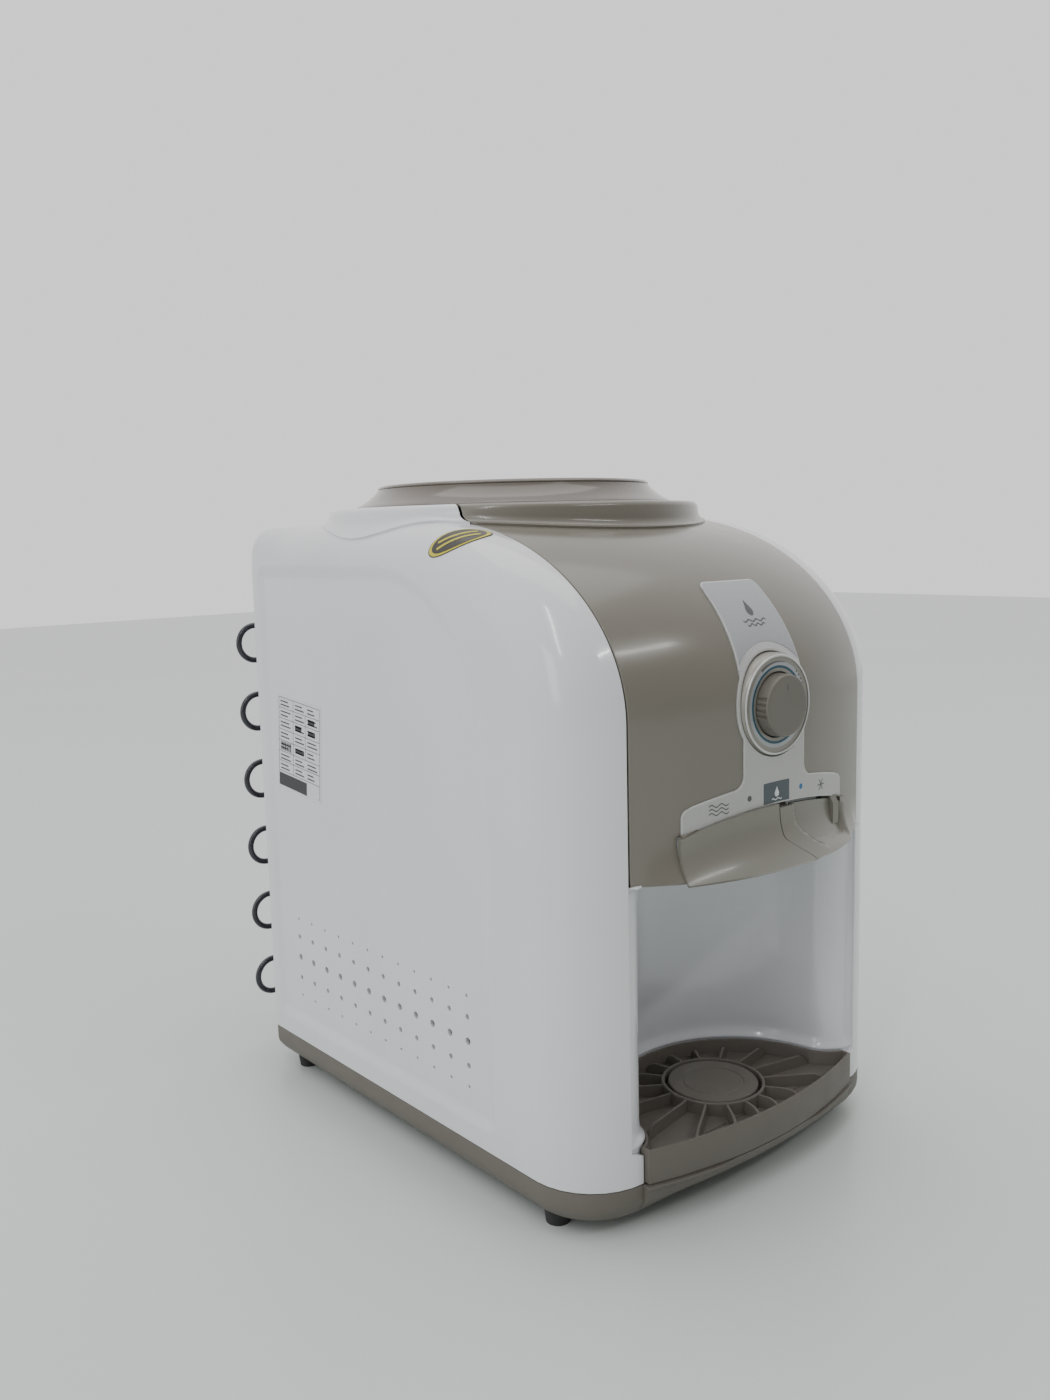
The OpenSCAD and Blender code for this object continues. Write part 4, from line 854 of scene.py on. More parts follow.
def build_rating_label():
    """The rating label: a ruled sheet with bars in place of its print."""
    @seen_from_left
    def sheet_face(q):
        return np.stack([np.full(len(q), INSET_DEPTH - HALF_W - LABEL_GAP), q[:, 0], q[:, 1]], -1)

    def place(shape):
        return backed(rotated(shape, LABEL_TURN, LABEL_CENTRE))

    sheet = plate("label_sheet", [densify(place(rect(-33.4, -38.4, 33.4, 38.4)), 8)], [], sheet_face, 0.17,
                  roll=0.05, turns=1)
    finish_piece(sheet, "cabinet", "label_white", PAPER, "rating_label")
    rule = 0.22
    shapes = [rect(-31.5, z - rule, 31.5, z + rule) for z in (36, 27.5, 19, 10, 1, -8, -16, -24.5)]
    for x, low, high in ((-31.5, -36, 36), (31.5, -36, 36), (-9, -24.5, 36), (10, -8, 27.5)):
        shapes.append(rect(x - rule, low, x + rule, high))
    for row, z in enumerate((33, 30, 24.6, 21.5, 16, 13, 7, 4, -2, -5, -11, -14, -19, -22)):
        for x, reach in ((-29, 12 + row % 3 * 2), (-6, 11 + row % 2 * 3), (13, 9 + row % 4 * 2)):
            shapes.append(rect(x, z - 0.55, x + reach, z + 0.55))
    for i in range(13):
        shapes.append(rect(-29 + i * 1.35, -7, -29 + i * 1.35 + 0.5 + 0.3 * (i % 3), 0.2))
    shapes += [rect(-6, 12.4, 4, 17.2), rect(14, 21, 24, 25.6), rect(14, 12.2, 25, 16.6),
               rect(-6, -5.6, 8, -1.4), rect(-31.5, -36.5, 12, -26.2)]
    marks = flat_marks("label_print", [place(shape * [-1, 1]) for shape in shapes], sheet_face, 0.04)
    finish_piece(marks, "cabinet", "label_white", PAPER_INK)


OVAL_ANGLE, OVAL_LONG, OVAL_SHORT, OVAL_Y = math.radians(50), 23.0, 11.5, -69.0


def build_oval():
    """The oval sticker on the left shoulder: stacked sheets and two bars."""
    middle_s = float(s_at_y(OVAL_Y)) - 3.0
    middle_depth = float(seam_depth(middle_s, 136.0)) + 3.4
    c, s = math.cos(OVAL_ANGLE), math.sin(OVAL_ANGLE)

    def place(u, v):
        """(length, depth) on the shoulder for points u along the sticker and v across it."""
        return np.stack([middle_s - (u * c - v * s), middle_depth - (u * s + v * c) * 2 / math.pi], -1)

    def oval(scale, n=40):
        a = np.radians(np.arange(n) * 360 / n)
        return place(OVAL_LONG * scale * np.cos(a), OVAL_SHORT * scale * np.sin(a))

    def shoulder(q):
        return side_surface(unrolled(q[:, 0], q[:, 1]))

    for name, scale, lift, material, nodes in (("oval_base", 0.97, 0.45, STICKER_DARK, ["oval_sticker"]),
                                               ("oval_rim", 0.93, 0.60, YELLOW, []),
                                               ("oval_middle", 0.82, 0.75, STICKER_DARK, [])):
        extra = [oval(scale * k, max(8, int(44 * k))) for k in (0.92, 0.84, 0.72, 0.6, 0.45, 0.3, 0.12)]
        sheet = plate(name, [oval(scale)], np.concatenate(extra), lifted(shoulder, lift), 0.4, roll=0.03,
                      turns=1, clear=0.3)
        finish_piece(sheet, "cabinet", "label_dark", material, *nodes)
    bars = [place(*rect(-reach, v - 0.9, reach, v + 0.9).T) for v, reach in ((3, 13), (-2, 15))]
    finish_piece(flat_marks("oval_marks", bars, shoulder, 0.92), "cabinet", "label_dark", YELLOW)


build_rating_label()
build_oval()

# ------------------------------------------------------------------ cap ring


def build_cap_ring():
    foot, top = COLLAR_Z + 0.3, COLLAR_Z + 19
    slope = [(124.9, foot), (125, foot + 0.8), (124.6, foot + 1.9), (123.4, foot + 2.8), (119.4, foot + 4.6),
             (113.6, foot + 8.2), (108.8, foot + 12.3), (106.6, foot + 14.8), (105.9, foot + 15.9),
             (105.7, foot + 16.1), (106.1, foot + 16.3), (106.2, foot + 16.9), (105.6, top - 1.1),
             (104.4, top - 0.3), (102.8, top), (100.4, top), (99.2, top - 0.4), (98.5, top - 1.4)]
    inner = [(98.5, foot), (101.2, foot), (101.2, top - 3.8), (103.4, top - 3.8), (113.8, foot + 6.7),
             (113.8, foot - 7.8), (116.4, foot - 7.8), (116.4, foot + 4.5), (119.4, foot + 2), (119.4, foot)]
    piece = lathe("cap_ring_moulding", slope + inner, (0, AXIS_Y, 0), n=160, sharp=40)
    finish_piece(piece, "cap_ring", "taupe_gloss", TAUPE_RING, "cap_ring")


build_cap_ring()

# ------------------------------------------------------------------ niche

NICHE_R, FLARE_R, NICHE_Y = 91.0, 24.0, -192.0
MOUTH_X = (NICHE_R + FLARE_R) * math.cos(math.radians(10))
MOUTH_Y = NICHE_Y + (NICHE_R + FLARE_R) * math.sin(math.radians(10))


def level(z):
    """The flat surface at height z."""
    return lambda q: np.column_stack([q, np.full(len(q), z)])
def niche_path(grow):
    """Plan of the niche's wall from its left edge to its right edge, grown outwards by grow."""
    flare_arc = arc(MOUTH_X, MOUTH_Y, FLARE_R - grow, 270, 190, 12)
    bowl = arc(0, NICHE_Y, NICHE_R + grow, 10, 170, 60)[1:]
    right = np.concatenate([[[COVER_X + 0.5, FRONT_Y + 1.9]], flare_arc])
    return np.concatenate([right, bowl, flare_arc[::-1][1:] * [-1, 1], right[:1] * [-1, 1]])[::-1]


SPOUT_X, SPOUT_Y, SPOUT_HOLE_R = 20.0, -172.0, 7.6


def build_niche():
    top, low = COVER_Z - 0.4, BASE_Z + 0.4
    foot_lip = ((0.6, 0), (0.9, -1.0), (1.3, -1.2), (2.2, -1.0), (3.4, -0.3), (5.0, 0.8), (7.0, 1.8),
                (9.5, 2.3), (14, 2.5), (60, 2.5))
    roof_turn = ((40, 2.4), (12, 2.0), (6, 1.2), (2.5, -0.8), (0.6, -3.4), (0, -7.0))
    rows = [(low, 0), *((TRAY_Z + z, grow) for z, grow in foot_lip)]
    rows += [(top - z, grow) for z, grow in roof_turn]
    grid = np.array([[(*p, z) for p in niche_path(grow)] for z, grow in rows])
    wall = grid_solid("niche_wall", grid, 1.6)
    edge = densify(niche_path(-6.4), 8)
    edge = edge[(np.abs(edge[:, 0]) < COVER_X - 9) | (edge[:, 1] > FRONT_Y + 4)]
    holes = [ring(side * SPOUT_X, SPOUT_Y, SPOUT_HOLE_R, 24) for side in (-1, 1)]
    roof = plate("niche_roof", [edge] + holes, spread((-100, -200), (100, -95), 16), level(top + 1.2), 1.4,
                 roll=0.1, turns=1)
    finish_piece(join("niche_shell", [wall, roof]), "cabinet", "white_gloss", WHITE, "niche_liner")


build_niche()

# ------------------------------------------------------------------ silver trim


def label_low(x):
    return label_arc(x, 0)


def label_high(x):
    return label_arc(x, LABEL_BAND)


def band_middle(x):
    return float(label_high(x)) - LABEL_BAND / 2


NECK, NECK_FILLET, SURROUND = 30.0, 9.0, 35.7
STRIP_X, STRIP_CORNER = 27.1, 4.5
LABEL_CORNER = 6.0


def above_cover(height):
    raised = lifted(cover_surface, height)
    return lambda q: raised(on_cover(q[:, 0], q[:, 1]))


def strip_top(d):
    """The strip's upper right corner, drawn in by d."""
    return arc(STRIP_X - STRIP_CORNER, STRIP_TOP - STRIP_CORNER, STRIP_CORNER - d, 0, 90, 6)


def label_outline(d, with_strip):
    """The trim's outline in the front view, drawn in by d: the label band, the neck and the strip."""
    half = LABEL_W - 0.3 - d
    x = np.linspace(-half, half, 40)
    low = np.stack([x, label_low(x) + d], -1)
    corner = LABEL_CORNER - d
    end = arc(half - corner, float(label_high(half - 3)) - corner - d, corner, 0, 74, 6)
    x = np.linspace(half - corner, NECK + NECK_FILLET - d, 14)[1:]
    top = np.stack([x, label_high(x) - d], -1)
    base = float(label_high(NECK + NECK_FILLET)) + NECK_FILLET
    fill = arc(NECK + NECK_FILLET, base, NECK_FILLET + d, 262, 180, 8)
    r = SURROUND - d
    meet = math.degrees(math.acos((NECK - d) / r))
    if with_strip:
        sides = [[NECK - d, DIAL_Z + 24], [STRIP_X - d, STRIP_TOP - 4]]
        right = np.concatenate([end, top, fill, arc(0, DIAL_Z, r, -meet, meet, 16), sides, strip_top(d)])
        return densify(np.concatenate([low, right, right[::-1] * [-1, 1]]), 3)
    right = np.concatenate([end, top, fill, arc(0, DIAL_Z, r, -meet, 90, 36)])[:-1]
    return densify(np.concatenate([low, right, [[0, DIAL_Z + r]], right[::-1] * [-1, 1]]), 3)


def strip_outline(d):
    """The cool strip's outline above the dial, drawn in by d."""
    r = SURROUND + 3.9
    meet = math.degrees(math.acos((NECK - d - 0.4) / r))
    right = np.concatenate([arc(0, DIAL_Z, r, 90, meet, 16), strip_top(d)])
    return densify(np.concatenate([right, right[::-1][:-1] * [-1, 1]]), 3)


def droplet(cx, cz, size):
    a = np.radians(np.linspace(-215, 35, 22))
    bowl = np.stack([np.cos(a), np.sin(a)], -1)
    return np.concatenate([bowl, [[0.45, 1.25], [0, 2.2], [-0.45, 1.25]]]) * size + [cx, cz]


def wave(cx, cz, reach, height, thick, bumps=2):
    x = np.linspace(-reach, reach, 24)
    z = height * np.sin(x / reach * math.pi * bumps)
    return np.concatenate([np.stack([x, z - thick], -1), np.stack([x, z + thick], -1)[::-1]]) + [cx, cz]


def build_trim():
    hole = ring(0, DIAL_Z, BEZEL_R + 0.3, 72)
    inner = spread((-80, 254), (80, STRIP_TOP), 5)
    for name, loops, height, thickness, roll, material, nodes in (
            ("trim_edge", [label_outline(0, True), hole], 1.3, 1.25, 0.25, SILVER_EDGE, ["front_trim"]),
            ("trim_strip", [strip_outline(0.75)], 1.6, 0.5, 0.12, SILVER_BLUE, []),
            ("trim_label", [label_outline(0.75, False), hole], 1.62, 0.5, 0.12, SILVER, [])):
        sheet = plate(name, loops, inner, above_cover(height), thickness, roll=roll, clear=1.2, turns=2)
        finish_piece(sheet, "cabinet", "silver_trim", material, *nodes)


def build_control_marks():
    """The marks on the label arc: slate plate, droplets, waves, a star and two dots."""
    x = np.linspace(-13, 13, 12)
    low, high = np.stack([x, label_low(x) + 0.9], -1), np.stack([x, label_high(x) - 0.9], -1)
    block = np.concatenate([low, high[::-1]])
    dot_z, middle = band_middle(26) + 0.2, band_middle(0)
    grey = [ring(-26, dot_z, 1.9, 20),
            *(wave(-52, band_middle(52) + k, 8, 0.9, 0.42) for k in (-2.6, 0, 2.6)),
            droplet(0, 386.5, 3.1),
            *(wave(0, 380.5 - k, 11 - k, 0.7, 0.45, 3) for k in (0.0, 2.6)),
            *(rotated(rect(-4.2, -0.42, 4.2, 0.42), a, (51, band_middle(51))) for a in (0, 60, 120))]
    pale = [droplet(0, middle - 1.2, 2.1), wave(0, middle - 4.8, 5, 0.5, 0.32)]
    for name, shapes, lift, slot, material, nodes in (
            ("control_slate", [block], 0.04, "slate_print", SLATE, ["control_marks"]),
            ("control_ink", grey, 0.06, "slate_print", INK, []),
            ("control_blue", [ring(26, dot_z, 1.9, 20)], 0.06, "blue_print", BLUE_INK, []),
            ("control_pale", pale, 0.12, "slate_print", PALE_INK, [])):
        finish_piece(flat_marks(name, shapes, above_cover(1.62), lift), "cabinet", slot, material, *nodes)


build_trim()
build_control_marks()

# ------------------------------------------------------------------ thermostat dial

SCALE_Y = FACE_Y + 1.0


def on_dial(y):
    return lambda q: np.stack([q[:, 0], np.full(len(q), y), q[:, 1]], -1)


def dial_arc(radius, thick, a0, a1, n):
    """A curved stroke round the dial's middle, radius out, from angle a0 to a1."""
    a = np.radians(np.linspace(a0, a1, n))
    way = np.stack([np.cos(a), np.sin(a)], -1)
    edges = [way * np.reshape(radius + k * thick, (-1, 1)) + [0, DIAL_Z] for k in (1, -1)]
    return np.concatenate([edges[0], edges[1][::-1]])


def build_dial():
    r, k = BEZEL_R, KNOB_R
    barrel = [(r - 0.8, 14.5), (r - 0.1, 12), (r - 0.25, 3.2), (r - 0.6, 2.2), (r - 1.1, 1.7), (r - 1.2, 1.2),
              (r - 1.2, 0.7), (r - 1.5, 0.25), (r - 2.0, 0.05), (r - 2.5, 0.3), (r - 2.6, 0.9), (k + 1, 1.2),
              (k + 1, 6), (r - 4.4, 6), (r - 4.4, 14.5)]
    rim = [(r - 1.15, 0.72), (r - 1.45, 0.22), (r - 2.0, 0.02), (r - 2.55, 0.28), (r - 2.5, 0.7)]
    scale = [(r - 2.65, 1.0), (k + 4.8, 1.0), (k + 4.8, 1.5), (r - 2.65, 1.5)]
    teal = [(k + 4.8, 1.0), (k + 4.4, 0.9), (k + 1.1, 1.5), (k + 1.1, 1.9), (k + 4.8, 1.9)]
    well = [(k + 0.9, 4.0), (4.0, 4.0), (4.0, 4.6), (k + 0.9, 4.6)]
    for name, profile, n, sharp, slot, material, nodes in (
            ("dial_barrel", barrel, 128, 34, "silver_trim", SILVER_TAUPE, ["dial_bezel"]),
            ("dial_rim", rim, 128, 32, "silver_trim", SILVER_EDGE, []),
            ("dial_scale", scale, 128, 32, "blue_print", SILVER_BLUE, ["dial_scale_ring"]),
            ("dial_teal", teal, 128, 32, "blue_print", DIAL_BLUE, []),
            ("dial_well", well, 64, 32, "silver_trim", BLACK_PLASTIC, [])):
        turned = lathe(name, profile, (0, FACE_Y, DIAL_Z), axis="y", n=n, sharp=sharp)
        finish_piece(turned, "cabinet", slot, material, *nodes)
    dots = np.radians([46, 39, 32, 25])
    marks = [dial_arc(r - 3.35, 0.35, 100, 405, 40),
             *(ring((r - 6) * math.cos(a), DIAL_Z + (r - 6) * math.sin(a), 0.75, 12) for a in dots),
             dial_arc(r - 5.9, np.linspace(0.15, 1.0, 16), 75, 125, 16)]
    finish_piece(flat_marks("dial_marks", marks, on_dial(SCALE_Y), 0.05), "cabinet", "slate_print", INK)


GRIP_ANGLES = [turn + (i - 1.5) * 11 for turn in (180, 0) for i in range(4)]
GRIP_WIDTH, GRIP_DEPTH = 1.15, 1.2


def build_knob():
    n, r = 288, KNOB_R
    a = np.radians(np.arange(n) * 360 / n)
    cut = np.zeros(n)
    for g in np.radians(GRIP_ANGLES):
        near = np.abs((a - g + math.pi) % (2 * math.pi) - math.pi) * r
        cut = np.maximum(cut, np.clip((GRIP_WIDTH - near) / 0.6, 0, 1))
    front = [(1.5, 0.4), (0.9, 0.55), (0.45, 0.85), (0.16, 1.35), (0.03, 2.1), (0, 4), (0.15, 12),
             (0.2, r - 1.0)]
    steps = [(SCALE_Y + 2.8, r - 0.4, 0), (SCALE_Y + 0.6, r, 0), (SCALE_Y + 0.2, r, GRIP_DEPTH),
             (KNOB_Y + 1.9, r - 0.35, GRIP_DEPTH), *((KNOB_Y + y, r - inset, 0) for y, inset in front)]
    rings = []
    for y, radius, depth in steps:
        reach = radius - depth * cut
        rings.append(np.stack([reach * np.cos(a), np.full(n, y), DIAL_Z + reach * np.sin(a)], -1))
    finish_piece(loft("knob_body", rings, sharp=48), "knob", "taupe_matte", KNOB, "thermostat_knob")
    line = flat_marks("knob_pointer", [rect(-0.6, DIAL_Z + r * 0.48, 0.6, DIAL_Z + r - 2.2)],
                      on_dial(KNOB_Y + 0.14), 0.1)
    finish_piece(line, "knob", "taupe_matte", INK)


build_dial()
build_knob()

# ------------------------------------------------------------------ tap levers

SPLIT_OUT, SPLIT_START, SPLIT_GAP = 19.0, 0.56, 1.05
LEVER_ROWS = 50.0


def split_x(v):
    """Where the two levers part, from the top (0) to the lip (1)."""
    t = np.clip((v - SPLIT_START) / (1 - SPLIT_START), 0, 1)
    return SPLIT_OUT * (0.625 * t + 0.375 * smooth(t))


def lever_surface(recess):
    """(x, height down the lever in LEVER_ROWS) to a point of its face, with a thumb recess or without."""
    def surface(q):
        x, v = q[:, 0], q[:, 1] / LEVER_ROWS
        top = label_low(x) - 0.8
        high = BULGE_Y - np.sqrt((BULGE_R + 1.0) ** 2 - x ** 2)
        low = LIP_Y + 1.3 + LIP_R - np.sqrt(LIP_R ** 2 - x ** 2)
        y = high + (low - high) * np.maximum(v, 0) ** 2.6
        if recess:
            edge = 15 + 22 * np.clip((v - 0.35) / 0.55, 0, 1) ** 1.5
            y = y + 4.6 * smooth((x - edge) / 2.6) * smooth((79 - x) / 5) * smooth((0.94 - v) / 0.16)
        return np.stack([x, y, top + (LIP_Z - top) * v], -1)
    return surface


def split_edge(first, side):
    """The edge along the parting line, on the side asked for, from row first to the lip."""
    v = np.linspace(first, 0.975, 30)
    return np.stack([split_x(v) + side * SPLIT_GAP, v * LEVER_ROWS], -1)


def lever_arms(side):
    """The two arms that carry a lever back to its pin."""
    arms = []
    for ends in ((10, 16), (66, 72)):
        top = float(label_low(ends[1])) - 4
        outline = ((-214.5, top), (-214.5, top - 14), (-198, 266), (-194, 268), (-194, 272), (-198, 274),
                   (-201, 273))
        arms.append(loft("arm", [[(side * x, y, z) for y, z in outline] for x in ends]))
    return arms


def build_levers():
    left_edge = np.linspace((-LEVER_W - 1.1, 0.0), (-LEVER_W - 1.2, 48.6), 12)
    corners_right = [arc(LEVER_W - 12.2, 38.5, 10.2, 90, 0, 8), arc(LEVER_W - 7.0, 8.5, 5.0, 0, -90, 6)]
    for name, side, parts, extra in (
            ("lever_left", -1, [left_edge, split_edge(0.0, -1)[::-1]], spread((-82, 0), (22, 50), 3.2)),
            ("lever_right", 1, [split_edge(0.07, 1), *corners_right], spread((0, 0), (82, 50), 2.4))):
        face = plate(name + "_face", [densify(np.concatenate(parts), 3)], extra, lever_surface(side > 0), 3.2,
                     roll=0.55, clear=1.0, turns=4)
        finish_piece(join(name + "_moulding", [face] + lever_arms(side)), name, "taupe_gloss", LEVER, name)


build_levers()


def build_window_reveal():
    """The cover's inner walls round the levers, seen in the gap beside them."""
    foot = COVER_Z + 1.2
    path = densify(np.concatenate([[[-WINDOW_X, foot]], window_arch(), [[WINDOW_X, foot]]]), 4, closed=False)
    x, z = path.T
    front = cover_surface(on_cover(x, z))[:, 1] + 1.0
    back = np.where(np.abs(x) > WINDOW_X - 0.1, -198.5, -212.0)
    rows = [np.stack([x, front * (1 - t) + back * t, z], -1) for t in (0, 0.3, 0.65, 1)]
    sheet = grid_solid("window_reveal", np.array(rows), 1.2, sharp=40, flip=True)
    finish_piece(sheet, "cabinet", "taupe_gloss", TAUPE)


build_window_reveal()

SPRING_TURNS, SPRING_WIRE, SPRING_KEEP = 5, 0.5, 0.65


def build_springs():
    """The stems' return springs, built as fixed coils at rest length."""
    wire = np.radians(np.arange(10) * 36)[:, None]
    for side in ("left", "right"):
        low, high = corners("spring_" + side)
        middle = (low + high) / 2
        radius = (high[0] - low[0]) / 2 - SPRING_WIRE
        length = high[1] - low[1] - 2 * SPRING_WIRE
        rings = []
        for t in np.linspace(0, 1, SPRING_TURNS * 24 + 1):
            a = 2 * math.pi * SPRING_TURNS * t
            radial = np.array([math.cos(a), 0, math.sin(a)])
            rise = length / (2 * math.pi * SPRING_TURNS)
            across = np.cross(unit(np.array([-radius * math.sin(a), rise, radius * math.cos(a)])), radial)
            place = np.array([middle[0], low[1] + SPRING_WIRE + length * t, middle[2]]) + radius * radial
            rings.append(place + SPRING_WIRE * (np.cos(wire) * radial + np.sin(wire) * across))
        spring = loft("spring_%s_coil" % side, rings, sharp=50)
        finish_piece(spring, "cabinet", "steel", STEEL, "spring_" + side)
        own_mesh(spring)


build_springs()

# ------------------------------------------------------------------ drip tray, its insert and the base

ARC_R = arc_radius(TRAY_W, 16.2)
RING_Y, RING_R, DISC_R = -163.0, 36.4, 31.5


def at_height(loop, z):
    return np.column_stack([loop, np.full(len(loop), z)])


def arc_y(x, d=0.0):
    return TRAY_FRONT + ARC_R - np.sqrt((ARC_R - d) ** 2 - x ** 2)


def tray_ring(d, z):
    """The tray's plan outline, drawn in by d, at height z."""
    half, r = TRAY_W - d, FLARE_R + 1.2 + d
    x = np.linspace(-half, half, 40)
    side = arc(MOUTH_X, MOUTH_Y, r, 270 - math.degrees(math.asin((MOUTH_X - half) / r)), 190, 10)
    bowl = arc(0, NICHE_Y, NICHE_R - 1.2 - d, 10, 170, 48)[1:]
    left = side[::-1][1:] * [-1, 1]
    return at_height(np.concatenate([np.stack([x, arc_y(x, d)], -1), side, bowl, left]), z)


def build_tray():
    outside = [(1.6, 0), (0.4, 0.5), (0, 1.6)]
    brim = [(0, -0.7), (0.2, -0.2), (0.7, 0), (1.5, 0), (2.0, -0.2), (2.2, -0.7)]
    within = [(2.6, 6), (3.6, 3.6), (5, 3)]
    stretches = ((outside, TRAY_LOW), (brim, TRAY_Z), (within, TRAY_LOW))
    rings = [tray_ring(d, start + z) for rows, start in stretches for d, z in rows]
    tray = loft("tray_shell", rings, sharp=40)
    finish_piece(tray, "drip_tray", "taupe_matte", TAUPE_MATTE, "drip_tray")


def edge_distance(angle, loop):
    """How far the outline is from the ring's centre along an angle."""
    d = np.array([math.cos(angle), math.sin(angle)])
    p = loop - [0, RING_Y]
    e = np.roll(p, -1, axis=0) - p
    det = d[1] * e[:, 0] - d[0] * e[:, 1]
    det = np.where(np.abs(det) < 1e-9, 1e-9, det)
    t = (p[:, 1] * e[:, 0] - p[:, 0] * e[:, 1]) / det
    u = (d[0] * p[:, 1] - d[1] * p[:, 0]) / det
    return float(t[(t > 0) & (u >= -1e-6) & (u <= 1 + 1e-6)].min())


RIBS, RIB_LOW_HALF, RIB_TOP_HALF = 16, 1.5, 0.85


def insert_rib(angle, low, height, bound):
    """One rib of the insert, from its ring to the edge, narrower at the top, with a sloped end."""
    far = edge_distance(angle, bound) - 1.5
    drop = min(10.0, (far - RING_R) * 0.6)
    curve = arc(0, 0, 1.0, 0, 90, 8) * [drop, height - low - 1.2] + [far - drop, low + 1.2]
    side = np.concatenate([[[RING_R - 1.0, low], [far, low]], curve, [[RING_R - 1.0, height]]])
    r, z = side.T
    half = RIB_LOW_HALF + (RIB_TOP_HALF - RIB_LOW_HALF) * (z - low) / (height - low)
    c, s = math.cos(angle), math.sin(angle)
    faces = [np.stack([r * c - w * s, RING_Y + r * s + w * c, z], -1) for w in (-half, half)]
    return loft("rib", faces, sharp=30)


def build_insert():
    floor_z, top = corners("drip_insert")[0][2] + 8.4, TRAY_Z
    low = floor_z + 0.2
    floor = ((3.2, -0.2), (2.9, 0.4), (2.9, 1.4), (3.3, 1.9), (5.5, 1.9))
    r, k = RING_R, DISC_R
    profile = [(r, low), (r - 0.1, top - 1.4), (r - 0.4, top - 0.9), (r - 1.0, top - 0.7),
               (r - 1.6, top - 0.7), (r - 2.1, top - 0.9), (r - 2.3, top - 1.5), (r - 2.6, floor_z + 3.5), (k + 0.1, floor_z + 3.5),
               (k, top - 1.8), (k - 0.4, top - 1.2), (k - 1.2, top - 1.0), (k - 9.6, top - 1.3),
               (k - 10.0, top - 1.8), (k - 10.8, top - 1.8), (k - 11.2, top - 1.35), (1.0, top - 1.6),
               (0.0, top - 1.6), (0.0, low)]
    bound = tray_ring(3.6, 0)[:, :2]
    pieces = [loft("insert_floor", [tray_ring(d, floor_z + z) for d, z in floor], sharp=40),
              lathe("insert_ring", profile, (0, RING_Y, 0), n=96, sharp=30)]
    pieces += [insert_rib((i + 0.5) * 2 * math.pi / RIBS, low, top - 1.6, bound) for i in range(RIBS)]
    finish_piece(join("insert_grille", pieces), "drip_insert", "taupe_matte", TAUPE_MATTE, "drip_insert")


def base_ring(inset, z, nose):
    """The base's plan outline: square at the back, round at the front, with the tray's nose."""
    right = arc(HALF_W - CORNER_R, FRONT_Y + CORNER_R, CORNER_R - inset, -90, 0, 16)
    x = np.linspace(-TRAY_W, TRAY_W, 41)
    front = np.stack([x, (FRONT_Y + inset) * (1 - nose) + (arc_y(x) + inset) * nose], -1)
    back = arc(HALF_W - 6, BACK_Y - 6, max(6 - inset * 0.5, 1), 0, 90, 6)
    back = np.minimum(back, [HALF_W - inset, BACK_Y - inset])
    return at_height(np.concatenate([front, right, back, back[::-1] * [-1, 1], right[::-1] * [-1, 1]]), z)


def build_base():
    low, high = FOOT_Z, BASE_Z
    rows = [(9.0, low, 0), (7.4, low + 0.3, 0.02), (5.6, low + 1.6, 0.08), (2.4, low + 6.0, 0.3),
            (1.2, low + 8.4, 0.44), (0.5, low + 10.0, 0.56), (0.25, low + 12.0, 0.68),
            (0.15, high - 1.4, 0.94), (0.3, high - 0.5, 0.96), (0.8, high - 0.1, 0.96),
            (2.6, high - 0.1, 0.96), (2.8, high - 1.0, 0.96), (3.2, low + 12, 0.6), (8, low + 4, 0.1)]
    pan = loft("base_shell", [base_ring(*row) for row in rows], sharp=40)
    finish_piece(pan, "cabinet", "taupe_matte", TAUPE_MATTE, "base_pan")
    shelf = level(high - 0.6)
    deck = plate("base_shelf", [densify(tray_ring(-0.8, 0)[:, :2], 12)], [],
                 lambda q: shelf(np.stack([q[:, 0], np.maximum(q[:, 1], TRAY_FRONT + 3)], -1)), 1.6,
                 roll=0.1, turns=1)
    finish_piece(deck, "cabinet", "taupe_matte", TAUPE_MATTE)


build_tray()
build_insert()
build_base()

# ------------------------------------------------------------------ camera, floor and light


# The camera, fitted to the photograph's view of the body.
YAW, PITCH, ROLL = 0.692767, 0.138650, -0.0255346
EYE, LENS, SENSOR = (-0.61234, -0.70333, 0.44171), 30.996, 36


def build_camera():
    ahead = Vector((math.sin(YAW) * math.cos(PITCH), math.cos(YAW) * math.cos(PITCH), -math.sin(PITCH)))
    right = Vector((math.cos(YAW), -math.sin(YAW), 0))
    up = right.cross(ahead)
    tilted = math.cos(ROLL) * right + math.sin(ROLL) * up
    upright = -math.sin(ROLL) * right + math.cos(ROLL) * up
    camera = bpy.data.cameras.new("camera")
    camera.sensor_width = SENSOR
    camera.lens = LENS
    holder = bpy.data.objects.new("camera", camera)
    place = Matrix((tilted, upright, -ahead)).transposed().to_4x4()
    place.translation = Vector(EYE)
    holder.matrix_world = place
    bpy.context.scene.collection.objects.link(holder)
    bpy.context.scene.camera = holder


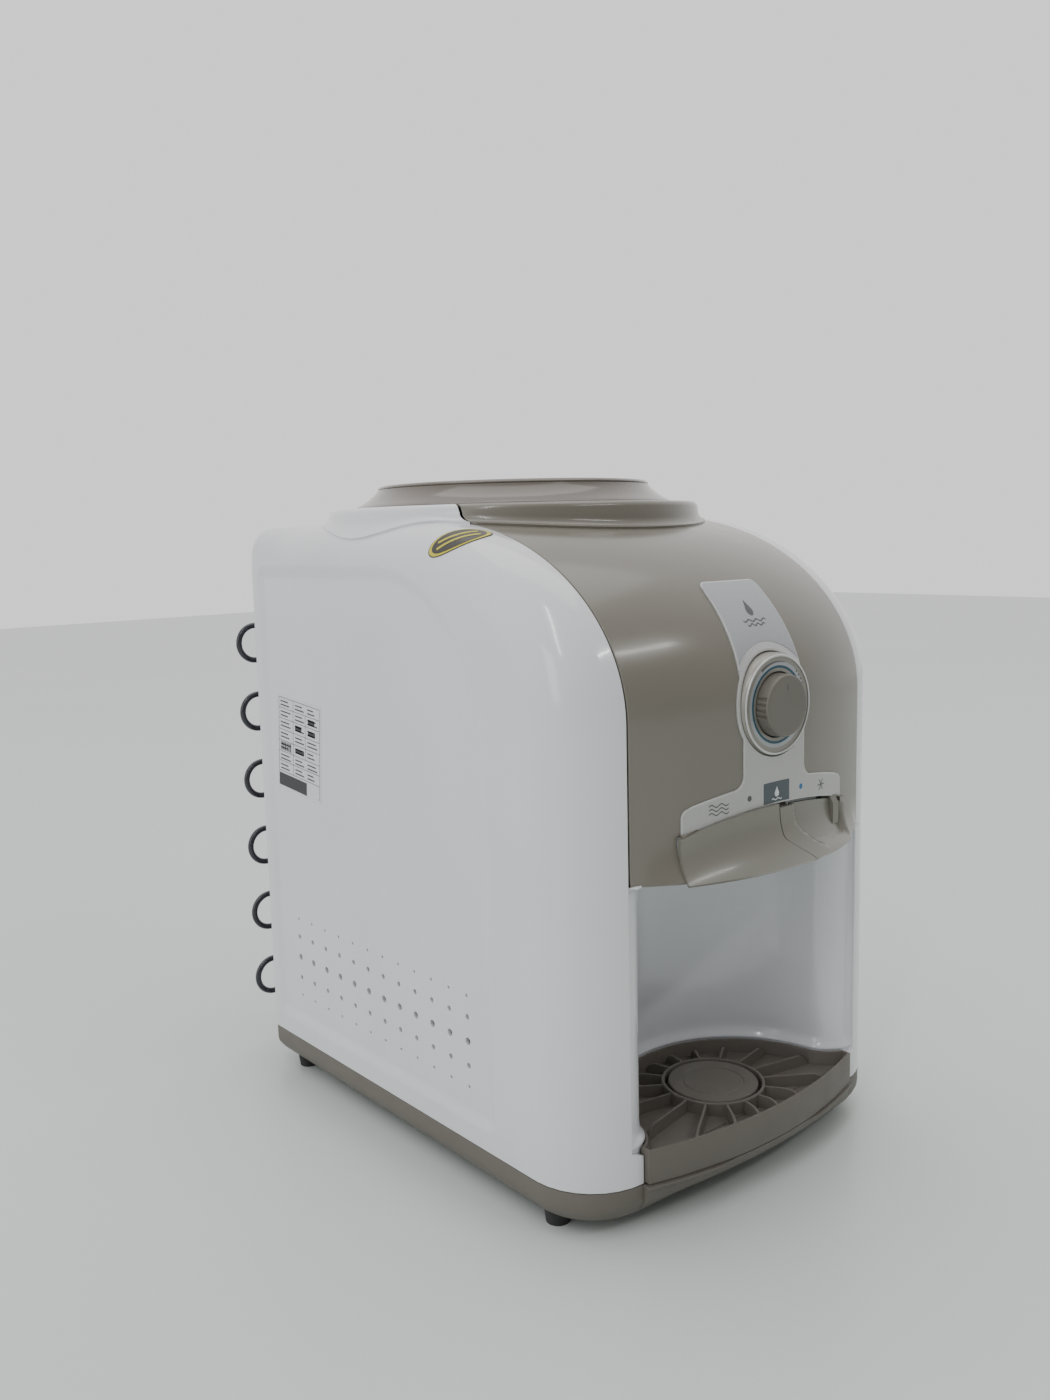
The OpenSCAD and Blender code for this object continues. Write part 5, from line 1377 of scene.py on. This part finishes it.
def build_stage():
    size = 6.0
    mesh = bpy.data.meshes.new("floor")
    around = ((-1, -1), (1, -1), (1, 1), (-1, 1))
    mesh.from_pydata([(size * x, size * y, 0) for x, y in around], [], [(0, 1, 2, 3)])
    floor = bpy.data.objects.new("floor", mesh)
    bpy.context.scene.collection.objects.link(floor)
    paint = Paint("floor_pale", (0.66, 0.71, 0.685), 0.28, specular=0.4)
    paint.vary_colour(paint.noise(1.5, 2), 0.985, 1.015)
    mesh.materials.append(paint.material)


def area_light(name, place, target, size, power, colour):
    light = bpy.data.lights.new(name, "AREA")
    light.shape = "RECTANGLE"
    light.size, light.size_y = size
    light.energy = power
    light.color = colour
    holder = bpy.data.objects.new(name, light)
    holder.location = place
    holder.rotation_euler = (Vector(target) - Vector(place)).to_track_quat("-Z", "Y").to_euler()
    bpy.context.scene.collection.objects.link(holder)


def build_light():
    """A room that is brighter behind the object than in front of it, and four lamps."""
    world = bpy.data.worlds.new("studio")
    world.use_nodes = True
    tree = world.node_tree
    background = tree.nodes["Background"]
    background.inputs["Color"].default_value = (0.84, 0.83, 0.835, 1)
    way = tree.nodes.new("ShaderNodeTexCoord").outputs["Generated"]
    parts = add_node(tree, "SeparateXYZ", {}, {"Vector": way})
    glow = add_node(tree, "MapRange", {"From Min": -1.0, "From Max": 0.15, "To Min": 0.22, "To Max": 1.35},
                    {"Value": parts.outputs["Y"]}, interpolation_type="SMOOTHSTEP")
    tree.links.new(glow.outputs["Result"], background.inputs["Strength"])
    bpy.context.scene.world = world
    area_light("ceiling", (0.3, 0.3, 2.6), (0, 0, 0.2), (2.2, 1.4), 12, (1.0, 0.99, 0.97))
    area_light("tube_left", (-1.5, -0.9, 2.3), (0, 0, 0.4), (0.08, 1.5), 9, (0.97, 0.99, 1.0))
    area_light("tube_front", (0.7, -2.1, 2.2), (0, -0.1, 0.35), (1.2, 0.08), 9, (1.0, 0.99, 0.97))
    area_light("window", (-2.4, -0.6, 1.0), (0, 0, 0.3), (0.5, 1.2), 5, (0.95, 0.97, 1.0))


build_camera()
build_stage()
build_light()
